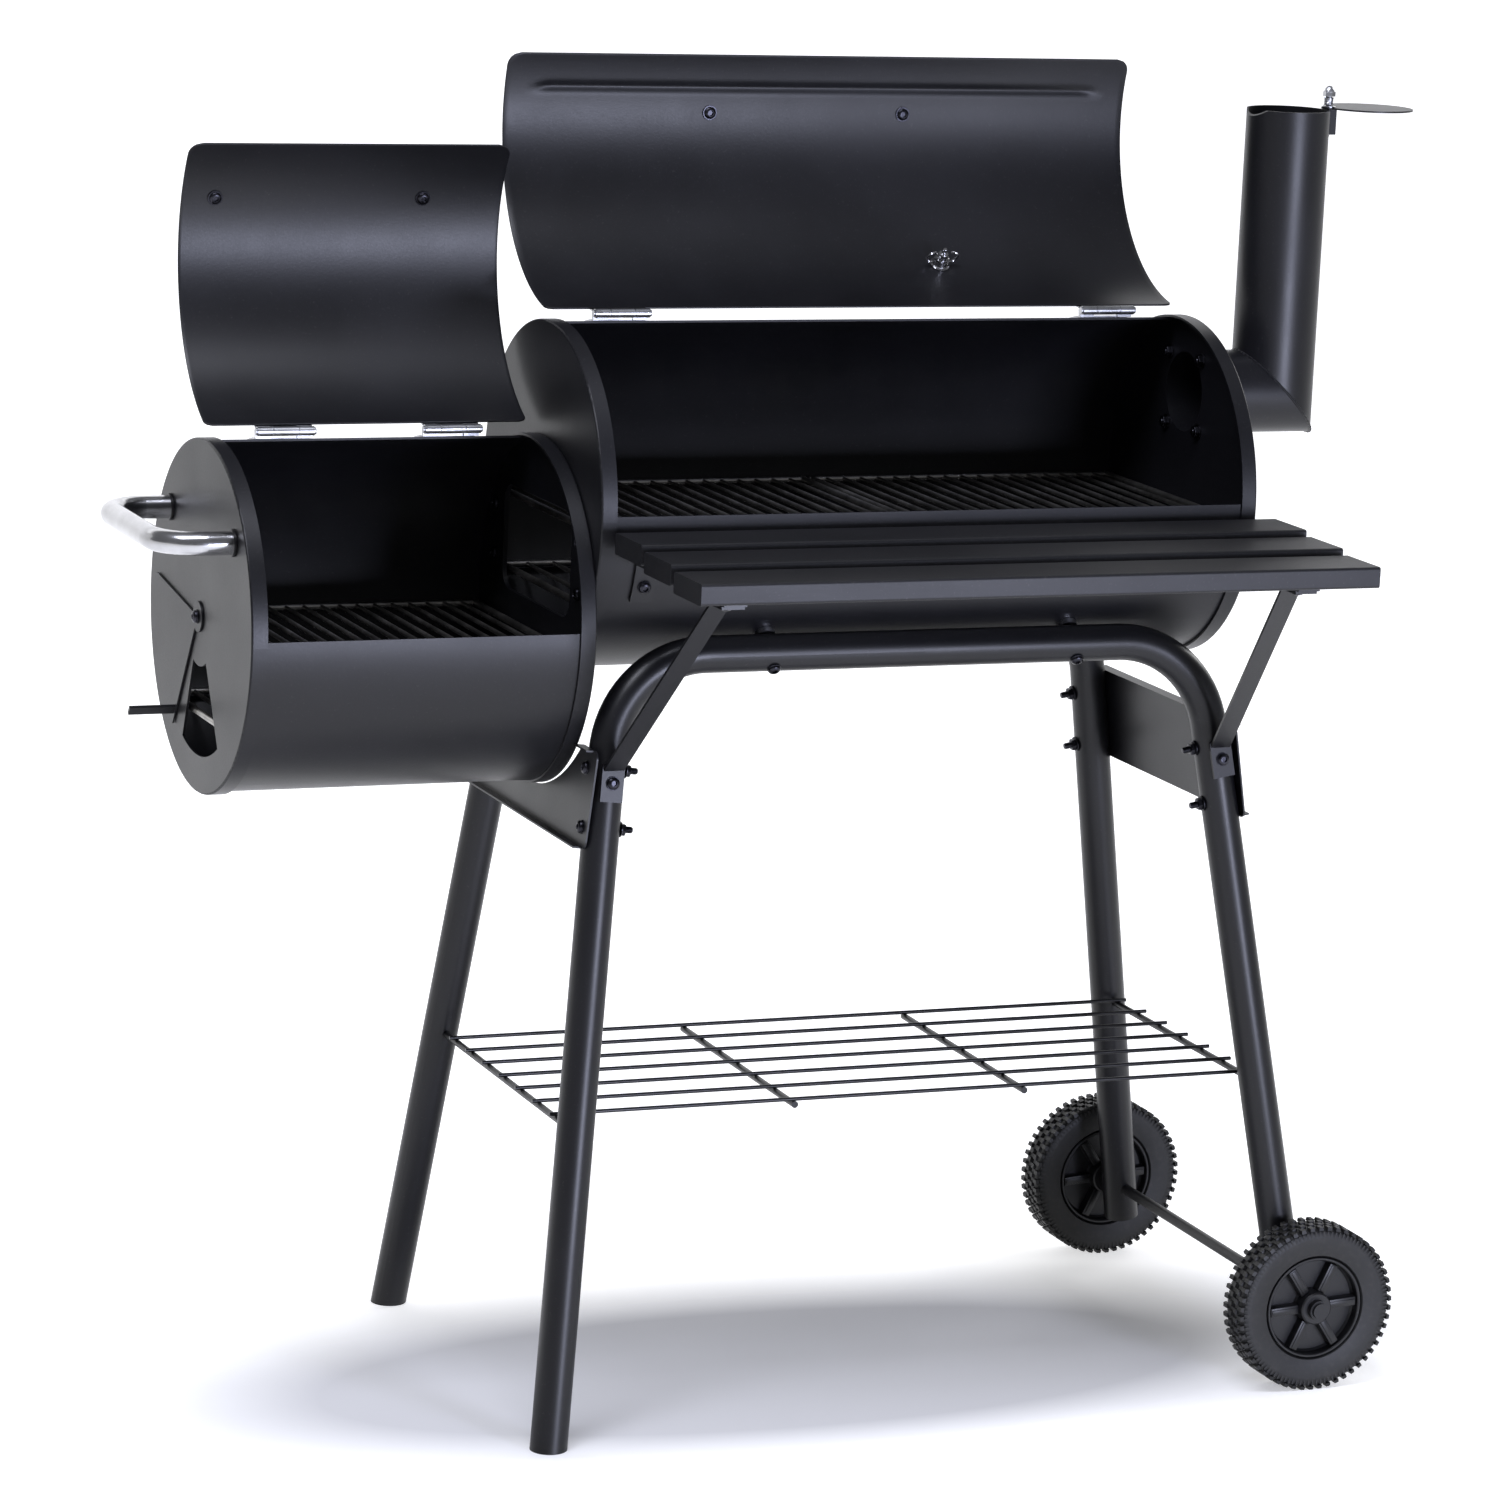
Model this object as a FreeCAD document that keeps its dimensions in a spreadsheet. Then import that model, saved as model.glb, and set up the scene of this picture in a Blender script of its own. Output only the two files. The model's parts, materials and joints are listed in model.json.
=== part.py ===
import FreeCAD
import Part

import math
import os
import re

# Offset barrel smoker: a firebox barrel beside a longer cooking barrel on a bent-tube stand,
# with two hinged lids, a slatted front shelf, a wire rack, two wheels and an elbow chimney.
#
# Working frame: x runs along the barrels from the cooking barrel's left end, y runs from the
# barrels' common centre plane towards the back, z is the height above the ground. The base
# placement below carries every finished piece into the part's own frame.

# Driving sizes in millimetres and degrees. Angles round a barrel count from its top towards
# the front.
SIZES = [
    ("base_shift_x", -221.3, "from the part's origin to the cooking barrel's left end"),
    ("base_shift_y", 56.4, "from the part's origin to the barrels' centre plane"),
    ("barrel_radius", 147.5, "outside of the rolled barrel sheet"),
    ("barrel_wall", 2.0, "barrel sheet"),
    ("main_length", 608.0, "cooking barrel over its end caps"),
    ("main_height", 780.0, "cooking barrel's centre above the ground"),
    ("fire_length", 300.0, "firebox barrel over its end caps"),
    ("fire_height", 682.0, "firebox barrel's centre above the ground"),
    ("mouth_front", 88.4, "front edge of the barrel mouth"),
    ("mouth_rear", 8.0, "rear edge of the barrel mouth, behind the top"),
    ("cap_wall", 2.0, "end cap sheet"),
    ("rim_slip", 0.4, "cap rim over the barrel"),
    ("rim_width", 14.0, "cap rim along the barrel"),
    ("rim_round", 1.6, "cap rim's outer edge"),
    ("pass_side", 62.5, "barrel beside the smoke passage"),
    ("pass_bottom", 686.0, "height of the passage's lower edge"),
    ("pass_tall", 92.0, "smoke passage"),
    ("pass_corner", 18.0, "passage's corner radius"),
    ("join_side", 42.5, "joining bolts from the barrel's outside"),
    ("join_low", 712.0, "lower joining bolts"),
    ("join_rise", 44.0, "upper joining bolts over the lower ones"),
    ("lid_slip", 1.0, "lid over the cap rims"),
    ("lid_wall", 1.5, "lid sheet"),
    ("lid_inset", 7.0, "lid's ends inside the caps' outer faces"),
    ("lid_front", 100.0, "lid's front edge when shut"),
    ("lid_rear", 3.5, "lid's rear edge when shut, behind the top"),
    ("lid_corner", 12.0, "lid's front corners"),
    ("bead_angle", 87.0, "stiffening bead along the lid"),
    ("bead_radius", 3.0, "bead's outer radius"),
    ("bead_inset", 34.0, "bead's ends from the lid's ends"),
    ("hinge_angle", 6.0, "hinge pin behind the barrel's top"),
    ("hinge_lift", 6.5, "hinge pin above the barrel sheet"),
    ("hinge_width", 50.0, "hinge along the barrel"),
    ("hinge_main_inset", 74.0, "hinge centres from the cooking barrel's ends"),
    ("hinge_fire_inset", 76.0, "hinge centres from the firebox's ends"),
    ("hinge_run", 0.05, "knuckle bore round the pin"),
    ("knuckle_radius", 4.0, "hinge knuckle"),
    ("knuckle_gap", 0.6, "between knuckles"),
    ("knuckle_middle", 22.0, "lid leaf's knuckle"),
    ("pin_radius", 2.0, "hinge pin"),
    ("leaf_wall", 1.5, "hinge leaf"),
    ("leaf_seat", 0.3, "leaf above the curved sheet"),
    ("leaf_reach", 9.0, "hinge leaf round the sheet"),
    ("main_open", 167.4, "cooking lid's travel from shut to open"),
    ("fire_open", 153.3, "firebox lid's travel from shut to open"),
    ("handle_span", 185.0, "between a handle's legs"),
    ("handle_reach", 70.0, "handle off its seat"),
    ("handle_radius", 10.0, "handle tube"),
    ("handle_bend", 36.0, "handle's bends at the tube's centre"),
    ("handle_bore", 3.2, "threaded bore in the handle's legs"),
    ("handle_bore_depth", 26.0, "threaded bore in the handle's legs"),
    ("handle_seat", 0.1, "handle off a curved lid"),
    ("lid_handle_angle", 80.0, "lid handle when shut"),
    ("main_handle_x", 292.0, "middle of the cooking lid's handle"),
    ("fire_handle_x", -171.0, "middle of the firebox lid's handle"),
    ("side_handle_height", 760.0, "carrying handle on the firebox cap"),
    ("gauge_angle", 24.0, "thermometer on the cooking lid when shut"),
    ("gauge_x", 401.0, "thermometer along the barrel"),
    ("gauge_radius", 30.0, "thermometer case"),
    ("gauge_depth", 13.0, "thermometer case"),
    ("gauge_neck", 9.0, "neck under the case"),
    ("gauge_neck_tall", 4.0, "neck under the case"),
    ("gauge_wall", 1.6, "thermometer case"),
    ("gauge_stem", 4.5, "threaded stem through the lid"),
    ("gauge_stem_long", 14.0, "threaded stem below the lid"),
    ("gauge_probe", 2.0, "probe below the stem"),
    ("gauge_probe_long", 48.0, "probe below the stem"),
    ("gauge_glass", 1.6, "thermometer glass"),
    ("gauge_dial", 1.0, "dial plate"),
    ("pointer_long", 38.0, "thermometer pointer"),
    ("pointer_wide", 2.0, "thermometer pointer"),
    ("pointer_wall", 0.6, "thermometer pointer"),
    ("wing_radius", 7.5, "wing nut's hub"),
    ("wing_tall", 6.0, "wing nut's hub"),
    ("wing_span", 26.0, "wing nut over its wings"),
    ("wing_wall", 1.8, "wing nut's wings"),
    ("vent_near", 42.0, "vent hole's inner edge from the cap's centre"),
    ("vent_far", 118.0, "vent hole's outer edge from the cap's centre"),
    ("vent_angle", 52.0, "vent hole round the cap's centre"),
    ("vent_lean", 5.0, "vent hole's middle from straight down, towards the front"),
    ("vent_lap", 6.0, "damper plate past the vent hole all round"),
    ("vent_gap", 0.5, "damper plate off the cap"),
    ("vent_open", 70.0, "damper swing from shut to open, towards the back"),
    ("vent_hub", 13.0, "damper plate round its pivot"),
    ("vent_wall", 1.5, "damper plate"),
    ("vent_tab_long", 40.0, "damper's finger tab, off the plate"),
    ("vent_tab_wide", 8.0, "damper's finger tab, along the plate's edge"),
    ("tube_radius", 16.0, "stand tube"),
    ("tube_wall", 1.5, "stand tube"),
    ("tube_bend", 90.0, "stand tube's bends at the centre"),
    ("tube_joint", 306.0, "where a left and a right tube plug together"),
    ("swage_long", 40.0, "plugged end"),
    ("swage_slip", 0.2, "plugged end in the left tube"),
    ("saddle_lift", 4.8, "between the tubes and the barrel"),
    ("saddle_angle", 135.5, "where the tubes carry the barrel"),
    ("saddle_radius", 9.0, "spacer under the barrel"),
    ("saddle_left", 169.0, "left barrel bolts"),
    ("saddle_right", 453.0, "right barrel bolts"),
    ("left_top", 29.0, "where a left leg's line meets its top tube"),
    ("left_foot", -41.0, "left leg at the ground"),
    ("left_spread", 216.0, "left legs at the ground each side of the centre plane"),
    ("left_end", 6.0, "left tube's lower end above the ground"),
    ("right_top", 573.8, "where a right leg's line meets its top tube"),
    ("right_foot", 686.0, "right leg's line at the ground"),
    ("right_spread", 179.0, "right legs' line at the ground each side of the centre plane"),
    ("right_end", 50.0, "right tube's lower end above the ground"),
    ("plug_slip", 0.2, "plastic foot in the tube"),
    ("plug_tall", 14.0, "plastic foot up inside the tube"),
    ("plug_ground", 120.0, "block that cuts a foot level at the ground"),
    ("end_plug_tall", 5.0, "plastic plug below a right leg"),
    ("panel_height", 542.0, "middle of the side panels"),
    ("panel_tall", 84.0, "side panel"),
    ("panel_wall", 1.5, "side panel"),
    ("panel_past", 17.0, "side panel past the legs' centres"),
    ("panel_flange", 9.0, "side panel's folded edges"),
    ("panel_corner", 7.0, "side panel's corners"),
    ("panel_clear", 1.0, "left panel's curved edge off the firebox"),
    ("panel_bolts", 24.5, "panel bolts above and below the panel's middle"),
    ("shelf_left", 10.0, "shelf slats' left end"),
    ("shelf_long", 612.0, "shelf slats"),
    ("shelf_front", -355.0, "shelf's front edge"),
    ("slat_wide", 62.0, "shelf slat"),
    ("slat_gap", 6.0, "between slats"),
    ("slat_tall", 18.0, "shelf slat"),
    ("slat_step", 4.5, "each slat above the one in front"),
    ("slat_round", 2.5, "slat's long edges"),
    ("shelf_under", 746.0, "front slat's underside"),
    ("bracket_left", 44.0, "left shelf bracket"),
    ("bracket_right", 561.0, "right shelf bracket"),
    ("bracket_wide", 20.0, "shelf brackets and struts"),
    ("bracket_wall", 3.0, "shelf brackets and struts"),
    ("bracket_front", -345.0, "front end of the shelf brackets"),
    ("bracket_seat", 0.3, "bracket off the curved barrel"),
    ("bracket_top", 103.0, "bracket's tab on the barrel"),
    ("bracket_sweep", 15.0, "bracket's tab on the barrel"),
    ("strut_height", 556.0, "strut's foot on the front leg"),
    ("strut_tab", 32.0, "strut's flat ends"),
    ("rack_height", 264.0, "bottom rack's cross bars"),
    ("rack_bar", 3.0, "rack's cross bars"),
    ("rack_wire", 1.75, "rack's long wires"),
    ("rack_wires", 7, "long wires"),
    ("rack_half", 131.0, "outer wires each side of the centre plane"),
    ("rack_past", 7.0, "wires past the end bars"),
    ("rack_hold", 6.0, "end bars into the legs"),
    ("axle_radius", 5.0, "axle"),
    ("axle_run", 0.1, "axle in its holes"),
    ("wheel_radius", 75.0, "wheel"),
    ("wheel_width", 36.0, "wheel's tread"),
    ("wheel_inner", 198.0, "wheel's inner face from the centre plane"),
    ("tyre_deep", 29.0, "tread ring"),
    ("tyre_round", 5.0, "tread ring's shoulders"),
    ("rim_ring", 3.5, "rim under the tread ring"),
    ("rim_wide", 30.0, "rim under the tread ring"),
    ("hub_radius", 15.0, "wheel hub"),
    ("hub_width", 36.0, "wheel hub"),
    ("spokes", 6, "wheel spokes"),
    ("spoke_wide", 12.0, "wheel spoke"),
    ("spoke_wall", 10.0, "wheel spoke across the wheel"),
    ("axle_nut", 5.0, "domed axle nut"),
    ("pipe_radius", 37.0, "chimney pipe"),
    ("pipe_wall", 1.5, "chimney pipe"),
    ("pipe_out", 85.0, "chimney's upright centre from the cooking barrel's end"),
    ("pipe_height", 862.0, "elbow's level part"),
    ("pipe_top", 1114.0, "chimney mouth"),
    ("flange_wide", 14.0, "chimney flange on the cap"),
    ("flange_wall", 2.0, "chimney flange"),
    ("flap_radius", 40.0, "chimney cap"),
    ("flap_wall", 1.5, "chimney cap"),
    ("flap_lift", 0.6, "chimney cap above the mouth"),
    ("flap_offset", 39.8, "chimney cap's centre from its pivot"),
    ("flap_ear", 6.5, "chimney cap's ear round its pivot"),
    ("flap_pin", 2.5, "chimney cap's pivot screw"),
    ("lug_deep", 22.0, "pivot lug down the pipe"),
    ("spring_radius", 4.6, "pivot spring"),
    ("spring_wire", 0.7, "pivot spring"),
    ("spring_tall", 9.0, "pivot spring"),
    ("spring_turns", 5, "pivot spring"),
    ("grate_height", 766.0, "cooking grates"),
    ("fire_grate_height", 662.0, "firebox grate"),
    ("coal_drop", 66.0, "charcoal grates below the cooking ones"),
    ("grate_wire", 2.0, "grate wires"),
    ("grate_frame", 3.0, "grate frames"),
    ("grate_pitch", 16.0, "between grate wires"),
    ("grate_gap", 3.0, "grates from the caps and each other"),
    ("grate_clear", 4.0, "grates from the barrel wall"),
    ("ledge_wide", 24.0, "grate ledge across the barrel"),
    ("ledge_deep", 18.0, "grate ledge along the barrel"),
    ("ledge_tall", 12.0, "grate ledge down the cap"),
    ("ledge_clear", 3.0, "ledges from the passage, the bolts and the barrel wall"),
    ("ledge_wall", 2.0, "grate ledge"),
    ("grate_bar", 8.0, "bar under the joint of the cooking grates"),
    ("bolt_radius", 3.0, "frame bolts"),
    ("bolt_hex", 5.6, "bolt heads and nuts, over corners"),
    ("bolt_head", 4.0, "bolt head"),
    ("bolt_nut", 5.0, "bolt nut"),
    ("bolt_past", 1.5, "bolt end past its nut"),
    ("panel_bolt_past", 7.0, "panel bolt's end past its nut"),
    ("bolt_run", 0.2, "bolt in its holes"),
    ("seat", 0.3, "bolt head or nut off a curved face"),
]

doc = FreeCAD.newDocument("OffsetSmoker")
sheet = doc.addObject("Spreadsheet::Sheet", "Sizes")
for row, (alias, number, meaning) in enumerate(SIZES, start=1):
    sheet.set("A%d" % row, meaning)
    sheet.set("B%d" % row, str(number))
    sheet.setAlias("B%d" % row, alias)
doc.recompute()
ALIASES = set(alias for alias, number, meaning in SIZES)


class Values:
    """The sheet's numbers, for places that are worked out in code."""

    def __getattr__(self, alias):
        return float(sheet.get(alias))


S = Values()
V = FreeCAD.Vector
ALONG = V(1, 0, 0)
BACK = V(0, 1, 0)
UP = V(0, 0, 1)
BASE = FreeCAD.Placement(V(S.base_shift_x, S.base_shift_y, 0), FreeCAD.Rotation())
nodes = {}


# ---- Helpers ----

def bind(piece, prop, formula):
    """Bind a property to a formula in the sheet's aliases."""
    def full(match):
        word = match.group()
        return "Sizes." + word if word in ALIASES else word
    piece.setExpression(prop, re.sub(r"[a-z][a-z_]*", full, str(formula)))


def frame(origin, z_axis, x_axis):
    """A placement whose local Z and X lie along two given directions."""
    z_axis = V(z_axis).normalize()
    x_axis = V(x_axis) - z_axis * z_axis.dot(x_axis)
    x_axis.normalize()
    return FreeCAD.Placement(origin, FreeCAD.Rotation(x_axis, z_axis.cross(x_axis), z_axis, "ZXY"))


def across(direction):
    """Any unit vector square to a direction, level where that is possible."""
    side = V(direction).cross(UP)
    if side.Length < 0.01:
        side = V(ALONG)
    return side.normalize()


def rod(name, start, direction, radius, length, spin=None):
    """A round bar from a start point along a direction."""
    piece = doc.addObject("Part::Cylinder", name)
    bind(piece, "Radius", radius)
    bind(piece, "Height", length)
    piece.Placement = frame(start, direction, spin if spin else across(direction))
    return piece


def sector(name, start, angle, radius, length, sweep):
    """A wedge of a round bar along x, from an angle round the barrel through a sweep."""
    piece = doc.addObject("Part::Cylinder", name)
    bind(piece, "Radius", radius)
    bind(piece, "Height", length)
    bind(piece, "Angle", sweep)
    piece.Placement = frame(start, ALONG, radial(angle))
    return piece


def block(name, place, length, width, height):
    """A box whose corner sits at a placement."""
    piece = doc.addObject("Part::Box", name)
    bind(piece, "Length", length)
    bind(piece, "Width", width)
    bind(piece, "Height", height)
    piece.Placement = place
    return piece


def middle_block(name, place, length, width, height):
    """A box centred on a placement."""
    piece = block(name, place, length, width, height)
    doc.recompute([piece])
    half = V(piece.Length.Value, piece.Width.Value, piece.Height.Value) * -0.5
    piece.Placement = place * FreeCAD.Placement(half, FreeCAD.Rotation())
    return piece


def bend(name, centre, axis, start, ring, radius, sweep):
    """Part of a torus about an axis, from a start direction through a sweep."""
    piece = doc.addObject("Part::Torus", name)
    bind(piece, "Radius1", ring)
    bind(piece, "Radius2", radius)
    piece.Angle1 = -180
    piece.Angle2 = 180
    piece.Angle3 = sweep
    piece.Placement = frame(centre, axis, start)
    return piece


def hexagon(name, start, direction, radius, height):
    """A six-sided nut or head."""
    piece = doc.addObject("Part::Prism", name)
    piece.Polygon = 6
    bind(piece, "Circumradius", radius)
    bind(piece, "Height", height)
    piece.Placement = frame(start, direction, across(direction))
    return piece


def group(name, pieces):
    """Separate solids that share one node."""
    piece = doc.addObject("Part::Compound", name)
    piece.Links = pieces
    return piece


def fuse(name, pieces, refine=True):
    """Pieces welded into one solid."""
    piece = doc.addObject("Part::MultiFuse", name)
    piece.Shapes = pieces
    piece.Refine = refine
    return piece


def cut(name, body, tools):
    """A piece less one or more tools."""
    piece = doc.addObject("Part::Cut", name)
    piece.Base = body
    piece.Tool = tools[0] if len(tools) == 1 else group(name + "_tools", tools)
    return piece


def common(name, body, tool):
    """What two pieces share."""
    piece = doc.addObject("Part::Common", name)
    piece.Base = body
    piece.Tool = tool
    return piece


def rounded(name, body, radius, wanted):
    """A piece with the wanted edges rounded."""
    doc.recompute()
    piece = doc.addObject("Part::Fillet", name)
    piece.Base = body
    piece.Edges = [(i, radius, radius) for i, edge in enumerate(body.Shape.Edges, start=1)
                   if not edge.Degenerated and wanted(edge)]
    return piece


def node(label, piece, place=BASE):
    """Name a finished piece and carry it into the part's frame."""
    piece.Label = label
    piece.Placement = place * piece.Placement
    nodes[label] = piece


def radial(angle):
    """Direction square to a barrel's axis, counted from the top towards the front."""
    return V(0, -math.sin(math.radians(angle)), math.cos(math.radians(angle)))


def bolt(name, start, direction, grip, spare=0.0, past="bolt_past"):
    """A hexagon bolt with its nut; it clamps from start along direction for the grip."""
    direction = V(direction).normalize()
    head = hexagon(name + "_head", start - direction * (S.bolt_head + spare), direction, "bolt_hex", "bolt_head")
    shank = rod(name + "_shank", start - direction * spare, direction, "bolt_radius",
                "bolt_nut + %s + %r" % (past, grip + 2 * spare))
    nut = hexagon(name + "_nut", start + direction * (grip + spare), direction, "bolt_hex", "bolt_nut")
    return fuse(name, [head, shank, nut])


def bolt_hole(name, start, direction, grip):
    """The hole that a bolt passes through, run past both faces."""
    direction = V(direction).normalize()
    return rod(name, start - direction * 3, direction, "bolt_radius + bolt_run", "%r" % (grip + 6))


def screw(name, seat, direction, length):
    """A round-headed screw; its head sits before the seat."""
    direction = V(direction).normalize()
    head = rod(name + "_head", seat - direction * S.bolt_head * 0.75, direction, "bolt_hex", "bolt_head * 0.75")
    shank = rod(name + "_shank", seat, direction, "bolt_radius", "%r" % length)
    return fuse(name, [head, shank])


RIM_RADIUS = S.barrel_radius + S.rim_slip + S.cap_wall
LID_INSIDE = RIM_RADIUS + S.lid_slip
LID_OUTSIDE = LID_INSIDE + S.lid_wall
HINGE_RADIUS = S.barrel_radius + S.hinge_lift
TUBE_RING = S.barrel_radius + S.saddle_lift + S.tube_radius
PIPE_X = S.main_length + S.pipe_out
PASS_WIDTH = 2 * (S.barrel_radius - S.pass_side)
JOIN_SPREAD = S.barrel_radius - S.join_side
MAIN_AXIS = V(0, 0, S.main_height)
FIRE_AXIS = V(-S.fire_length, 0, S.fire_height)
MAIN_END = V(S.main_length, 0, S.main_height)


# ---- Legs: bent tubes in two pairs ----

class Leg:
    """The centre line of one bent tube: leg, bend and half of the top tube."""

    def __init__(self, face, top, foot, spread, end, inward):
        ring = radial(S.saddle_angle) * TUBE_RING + MAIN_AXIS
        self.corner = V(top, abs(ring.y) * face, ring.z)
        self.foot = V(foot, spread * face, 0)
        self.down = (self.foot - self.corner).normalize()
        self.inward = V(inward, 0, 0)
        self.turn = math.degrees(math.acos(-self.down.dot(self.inward)))
        tangent = S.tube_bend * math.tan(math.radians(self.turn / 2))
        self.leg_top = self.corner + self.down * tangent
        self.run_start = self.corner + self.inward * tangent
        self.run_end = V(S.tube_joint, self.corner.y, self.corner.z)
        self.end = self.at(end)
        side = (self.inward - self.down * self.down.dot(self.inward)).normalize()
        self.centre = self.leg_top + side * S.tube_bend
        self.side = side
        self.outward = V(-self.down.z, 0, self.down.x).normalize() * (-inward)
        self.forward = V(0, self.down.z, -self.down.y).normalize()

    def at(self, height):
        """The point of the leg's line at a height."""
        return self.foot + (self.corner - self.foot) * (height / self.corner.z)

    def solid(self, name, radius):
        """A full-length bar of a given radius along the centre line."""
        leg_long = (self.leg_top - self.end).Length
        run_long = (self.run_end - self.run_start).Length
        pieces = [
            rod(name + "_leg", self.end, self.down * -1, radius, "%r" % leg_long),
            bend(name + "_bend", self.centre, self.side.cross(self.down), self.side * -1,
                 "tube_bend", radius, self.turn),
            rod(name + "_run", self.run_start, self.inward, radius, "%r" % run_long),
        ]
        return fuse(name, pieces)


LEGS = {
    "leg_front_left": Leg(-1, S.left_top, S.left_foot, S.left_spread, S.left_end, 1),
    "leg_rear_left": Leg(1, S.left_top, S.left_foot, S.left_spread, S.left_end, 1),
    "leg_front_right": Leg(-1, S.right_top, S.right_foot, S.right_spread, S.right_end, -1),
    "leg_rear_right": Leg(1, S.right_top, S.right_foot, S.right_spread, S.right_end, -1),
}

panel_bolts = []
saddle_bolts = []
saddles = []
barrel_holes = []
panel_holes = {"left": [], "right": []}
panel_grip = S.panel_wall + 2 * S.tube_radius + 0.2
saddle_grip = TUBE_RING + S.tube_radius - S.barrel_radius + S.barrel_wall

for label, leg in LEGS.items():
    side = "left" if "left" in label else "right"
    holes = []
    # Panel bolts run through the leg from the panel on its outer side.
    for step in (-1, 1):
        point = leg.at(S.panel_height + step * S.panel_bolts)
        start = point + leg.outward * (S.tube_radius + 0.1 + S.panel_wall)
        name = "%s_panel_%d" % (label, step + 1)
        panel_bolts.append(bolt(name, start, leg.outward * -1, panel_grip + S.seat, 0.0, "panel_bolt_past"))
        holes.append(bolt_hole(name + "_hole", start, leg.outward * -1, panel_grip))
        panel_holes[side].append(bolt_hole(name + "_slot", start, leg.outward * -1, S.panel_wall))
    # One bolt through each half of a top tube holds the barrel.
    inward = radial(S.saddle_angle if leg.corner.y < 0 else -S.saddle_angle) * -1
    x = S.saddle_left if side == "left" else S.saddle_right
    start = V(x, 0, S.main_height) - inward * (TUBE_RING + S.tube_radius)
    saddle_bolts.append(bolt(label + "_saddle", start, inward, saddle_grip, S.seat))
    holes.append(bolt_hole(label + "_saddle_hole", start, inward, 2 * S.tube_radius))
    seat = V(x, 0, S.main_height) - inward * (S.barrel_radius + S.saddle_lift - 0.1)
    washer = rod(label + "_washer", seat, inward, "saddle_radius", "saddle_lift - 0.2")
    saddles.append(cut(label + "_spacer", washer, [bolt_hole(label + "_washer_hole", seat, inward, S.saddle_lift)]))
    barrel_holes.append(bolt_hole(label + "_sheet_hole", seat, inward, S.saddle_lift + S.barrel_wall + 3))
    # The rack's end bars sit in holes in the legs' facing sides.
    toward = V(0, -1 if leg.corner.y > 0 else 1, 0)
    rack_point = leg.at(S.rack_height)
    holes.append(rod(label + "_rack_hole", rack_point, toward, "rack_bar + bolt_run", "tube_radius + 4"))
    if side == "right":
        axle_point = leg.at(S.wheel_radius)
        holes.append(rod(label + "_axle_hole", axle_point - BACK * 25, BACK, "axle_radius + axle_run", "50"))
    if leg.corner.y < 0:
        strut_point = leg.at(S.strut_height)
        holes.append(bolt_hole(label + "_strut_hole", strut_point + leg.forward * (S.tube_radius + 3),
                               leg.forward * -1, 2 * S.tube_radius + 6))
    outer = leg.solid(label + "_outer", "tube_radius")
    inner = leg.solid(label + "_inner", "tube_radius - tube_wall")
    tube = cut(label + "_tube", outer, [inner])
    if side == "right":
        plug_start = leg.run_end + leg.inward * -8
        sleeve = rod(label + "_swage", plug_start, leg.inward, "tube_radius - tube_wall - swage_slip", "swage_long + 8")
        bore = rod(label + "_swage_bore", plug_start, leg.inward, "tube_radius - 2 * tube_wall - swage_slip",
                   "swage_long + 8")
        collar = rod(label + "_collar", plug_start, leg.inward, "tube_radius - tube_wall / 2", "8")
        collar_bore = rod(label + "_collar_bore", plug_start, leg.inward,
                          "tube_radius - 2 * tube_wall - swage_slip", "8")
        tube = fuse(label + "_plugged", [tube, cut(label + "_end", sleeve, [bore]),
                                         cut(label + "_ring", collar, [collar_bore])])
    node(label, cut(label + "_made", tube, holes))

node("panel_bolts", group("PanelBolts", panel_bolts))
node("barrel_bolts", group("BarrelBolts", saddle_bolts))
node("saddle_spacers", group("SaddleSpacers", saddles))

# Plastic feet: plugs in the tubes' ends; the left ones are cut level at the ground.
feet = []
for label, leg in LEGS.items():
    name = label + "_plug"
    stem = rod(name + "_stem", leg.end, leg.down * -1, "tube_radius - tube_wall - plug_slip", "plug_tall")
    lip = rod(name + "_lip", leg.end, leg.down, "tube_radius", "end_plug_tall")
    if "left" in label:
        tread = rod(name + "_tread", leg.end, leg.down, "tube_radius", "left_end * 3")
        under = middle_block(name + "_ground", FreeCAD.Placement(V(leg.foot.x, leg.foot.y, -20), FreeCAD.Rotation()),
                             "plug_ground", "plug_ground", "40")
        lip = cut(name + "_level", tread, [under])
    feet.append(fuse(name, [lip, stem]))
node("leg_plugs", group("LegPlugs", feet))

# Side panels: folded sheets outside each pair of legs.
for side in ("left", "right"):
    leg = LEGS["leg_front_" + side]
    point = leg.at(S.panel_height)
    half = abs(point.y) + S.panel_past
    middle = V(point.x, 0, point.z) + leg.outward * (S.tube_radius + 0.1 + S.panel_wall / 2)
    place = frame(middle, leg.outward, BACK)
    sheet_plate = middle_block("panel_%s_sheet" % side, place, "%r" % (2 * half), "panel_tall", "panel_wall")
    folds = [sheet_plate]
    for edge in (-1, 1):
        offset = V(0, edge * (S.panel_tall - S.panel_wall) / 2, (S.panel_flange - S.panel_wall) / 2)
        fold_place = place * FreeCAD.Placement(offset, FreeCAD.Rotation())
        folds.append(middle_block("panel_%s_fold_%d" % (side, edge + 1), fold_place, "%r" % (2 * half - 16),
                                  "panel_wall", "panel_flange"))
    body = fuse("panel_%s_body" % side, folds)

    def corner(edge, normal=leg.outward):
        """A short edge through the panel's sheet."""
        straight = isinstance(edge.Curve, Part.Line)
        return straight and abs(edge.Length - S.panel_wall) < 0.01 and \
            abs(abs(edge.tangentAt(edge.FirstParameter).dot(normal)) - 1) < 0.001 and \
            abs(edge.CenterOfMass.y) > half - 1
    shaped = rounded("panel_%s_round" % side, body, S.panel_corner, corner)
    tools = panel_holes[side]
    if side == "left":
        # The firebox hangs over this panel, so its top edge is cut to the firebox's curve.
        tools = tools + [rod("PanelArc", V(-100, 0, S.fire_height), ALONG,
                             "barrel_radius + rim_slip + cap_wall + panel_clear", "200")]
    node("side_panel_" + side, cut("panel_%s_made" % side, shaped, tools))


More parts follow.
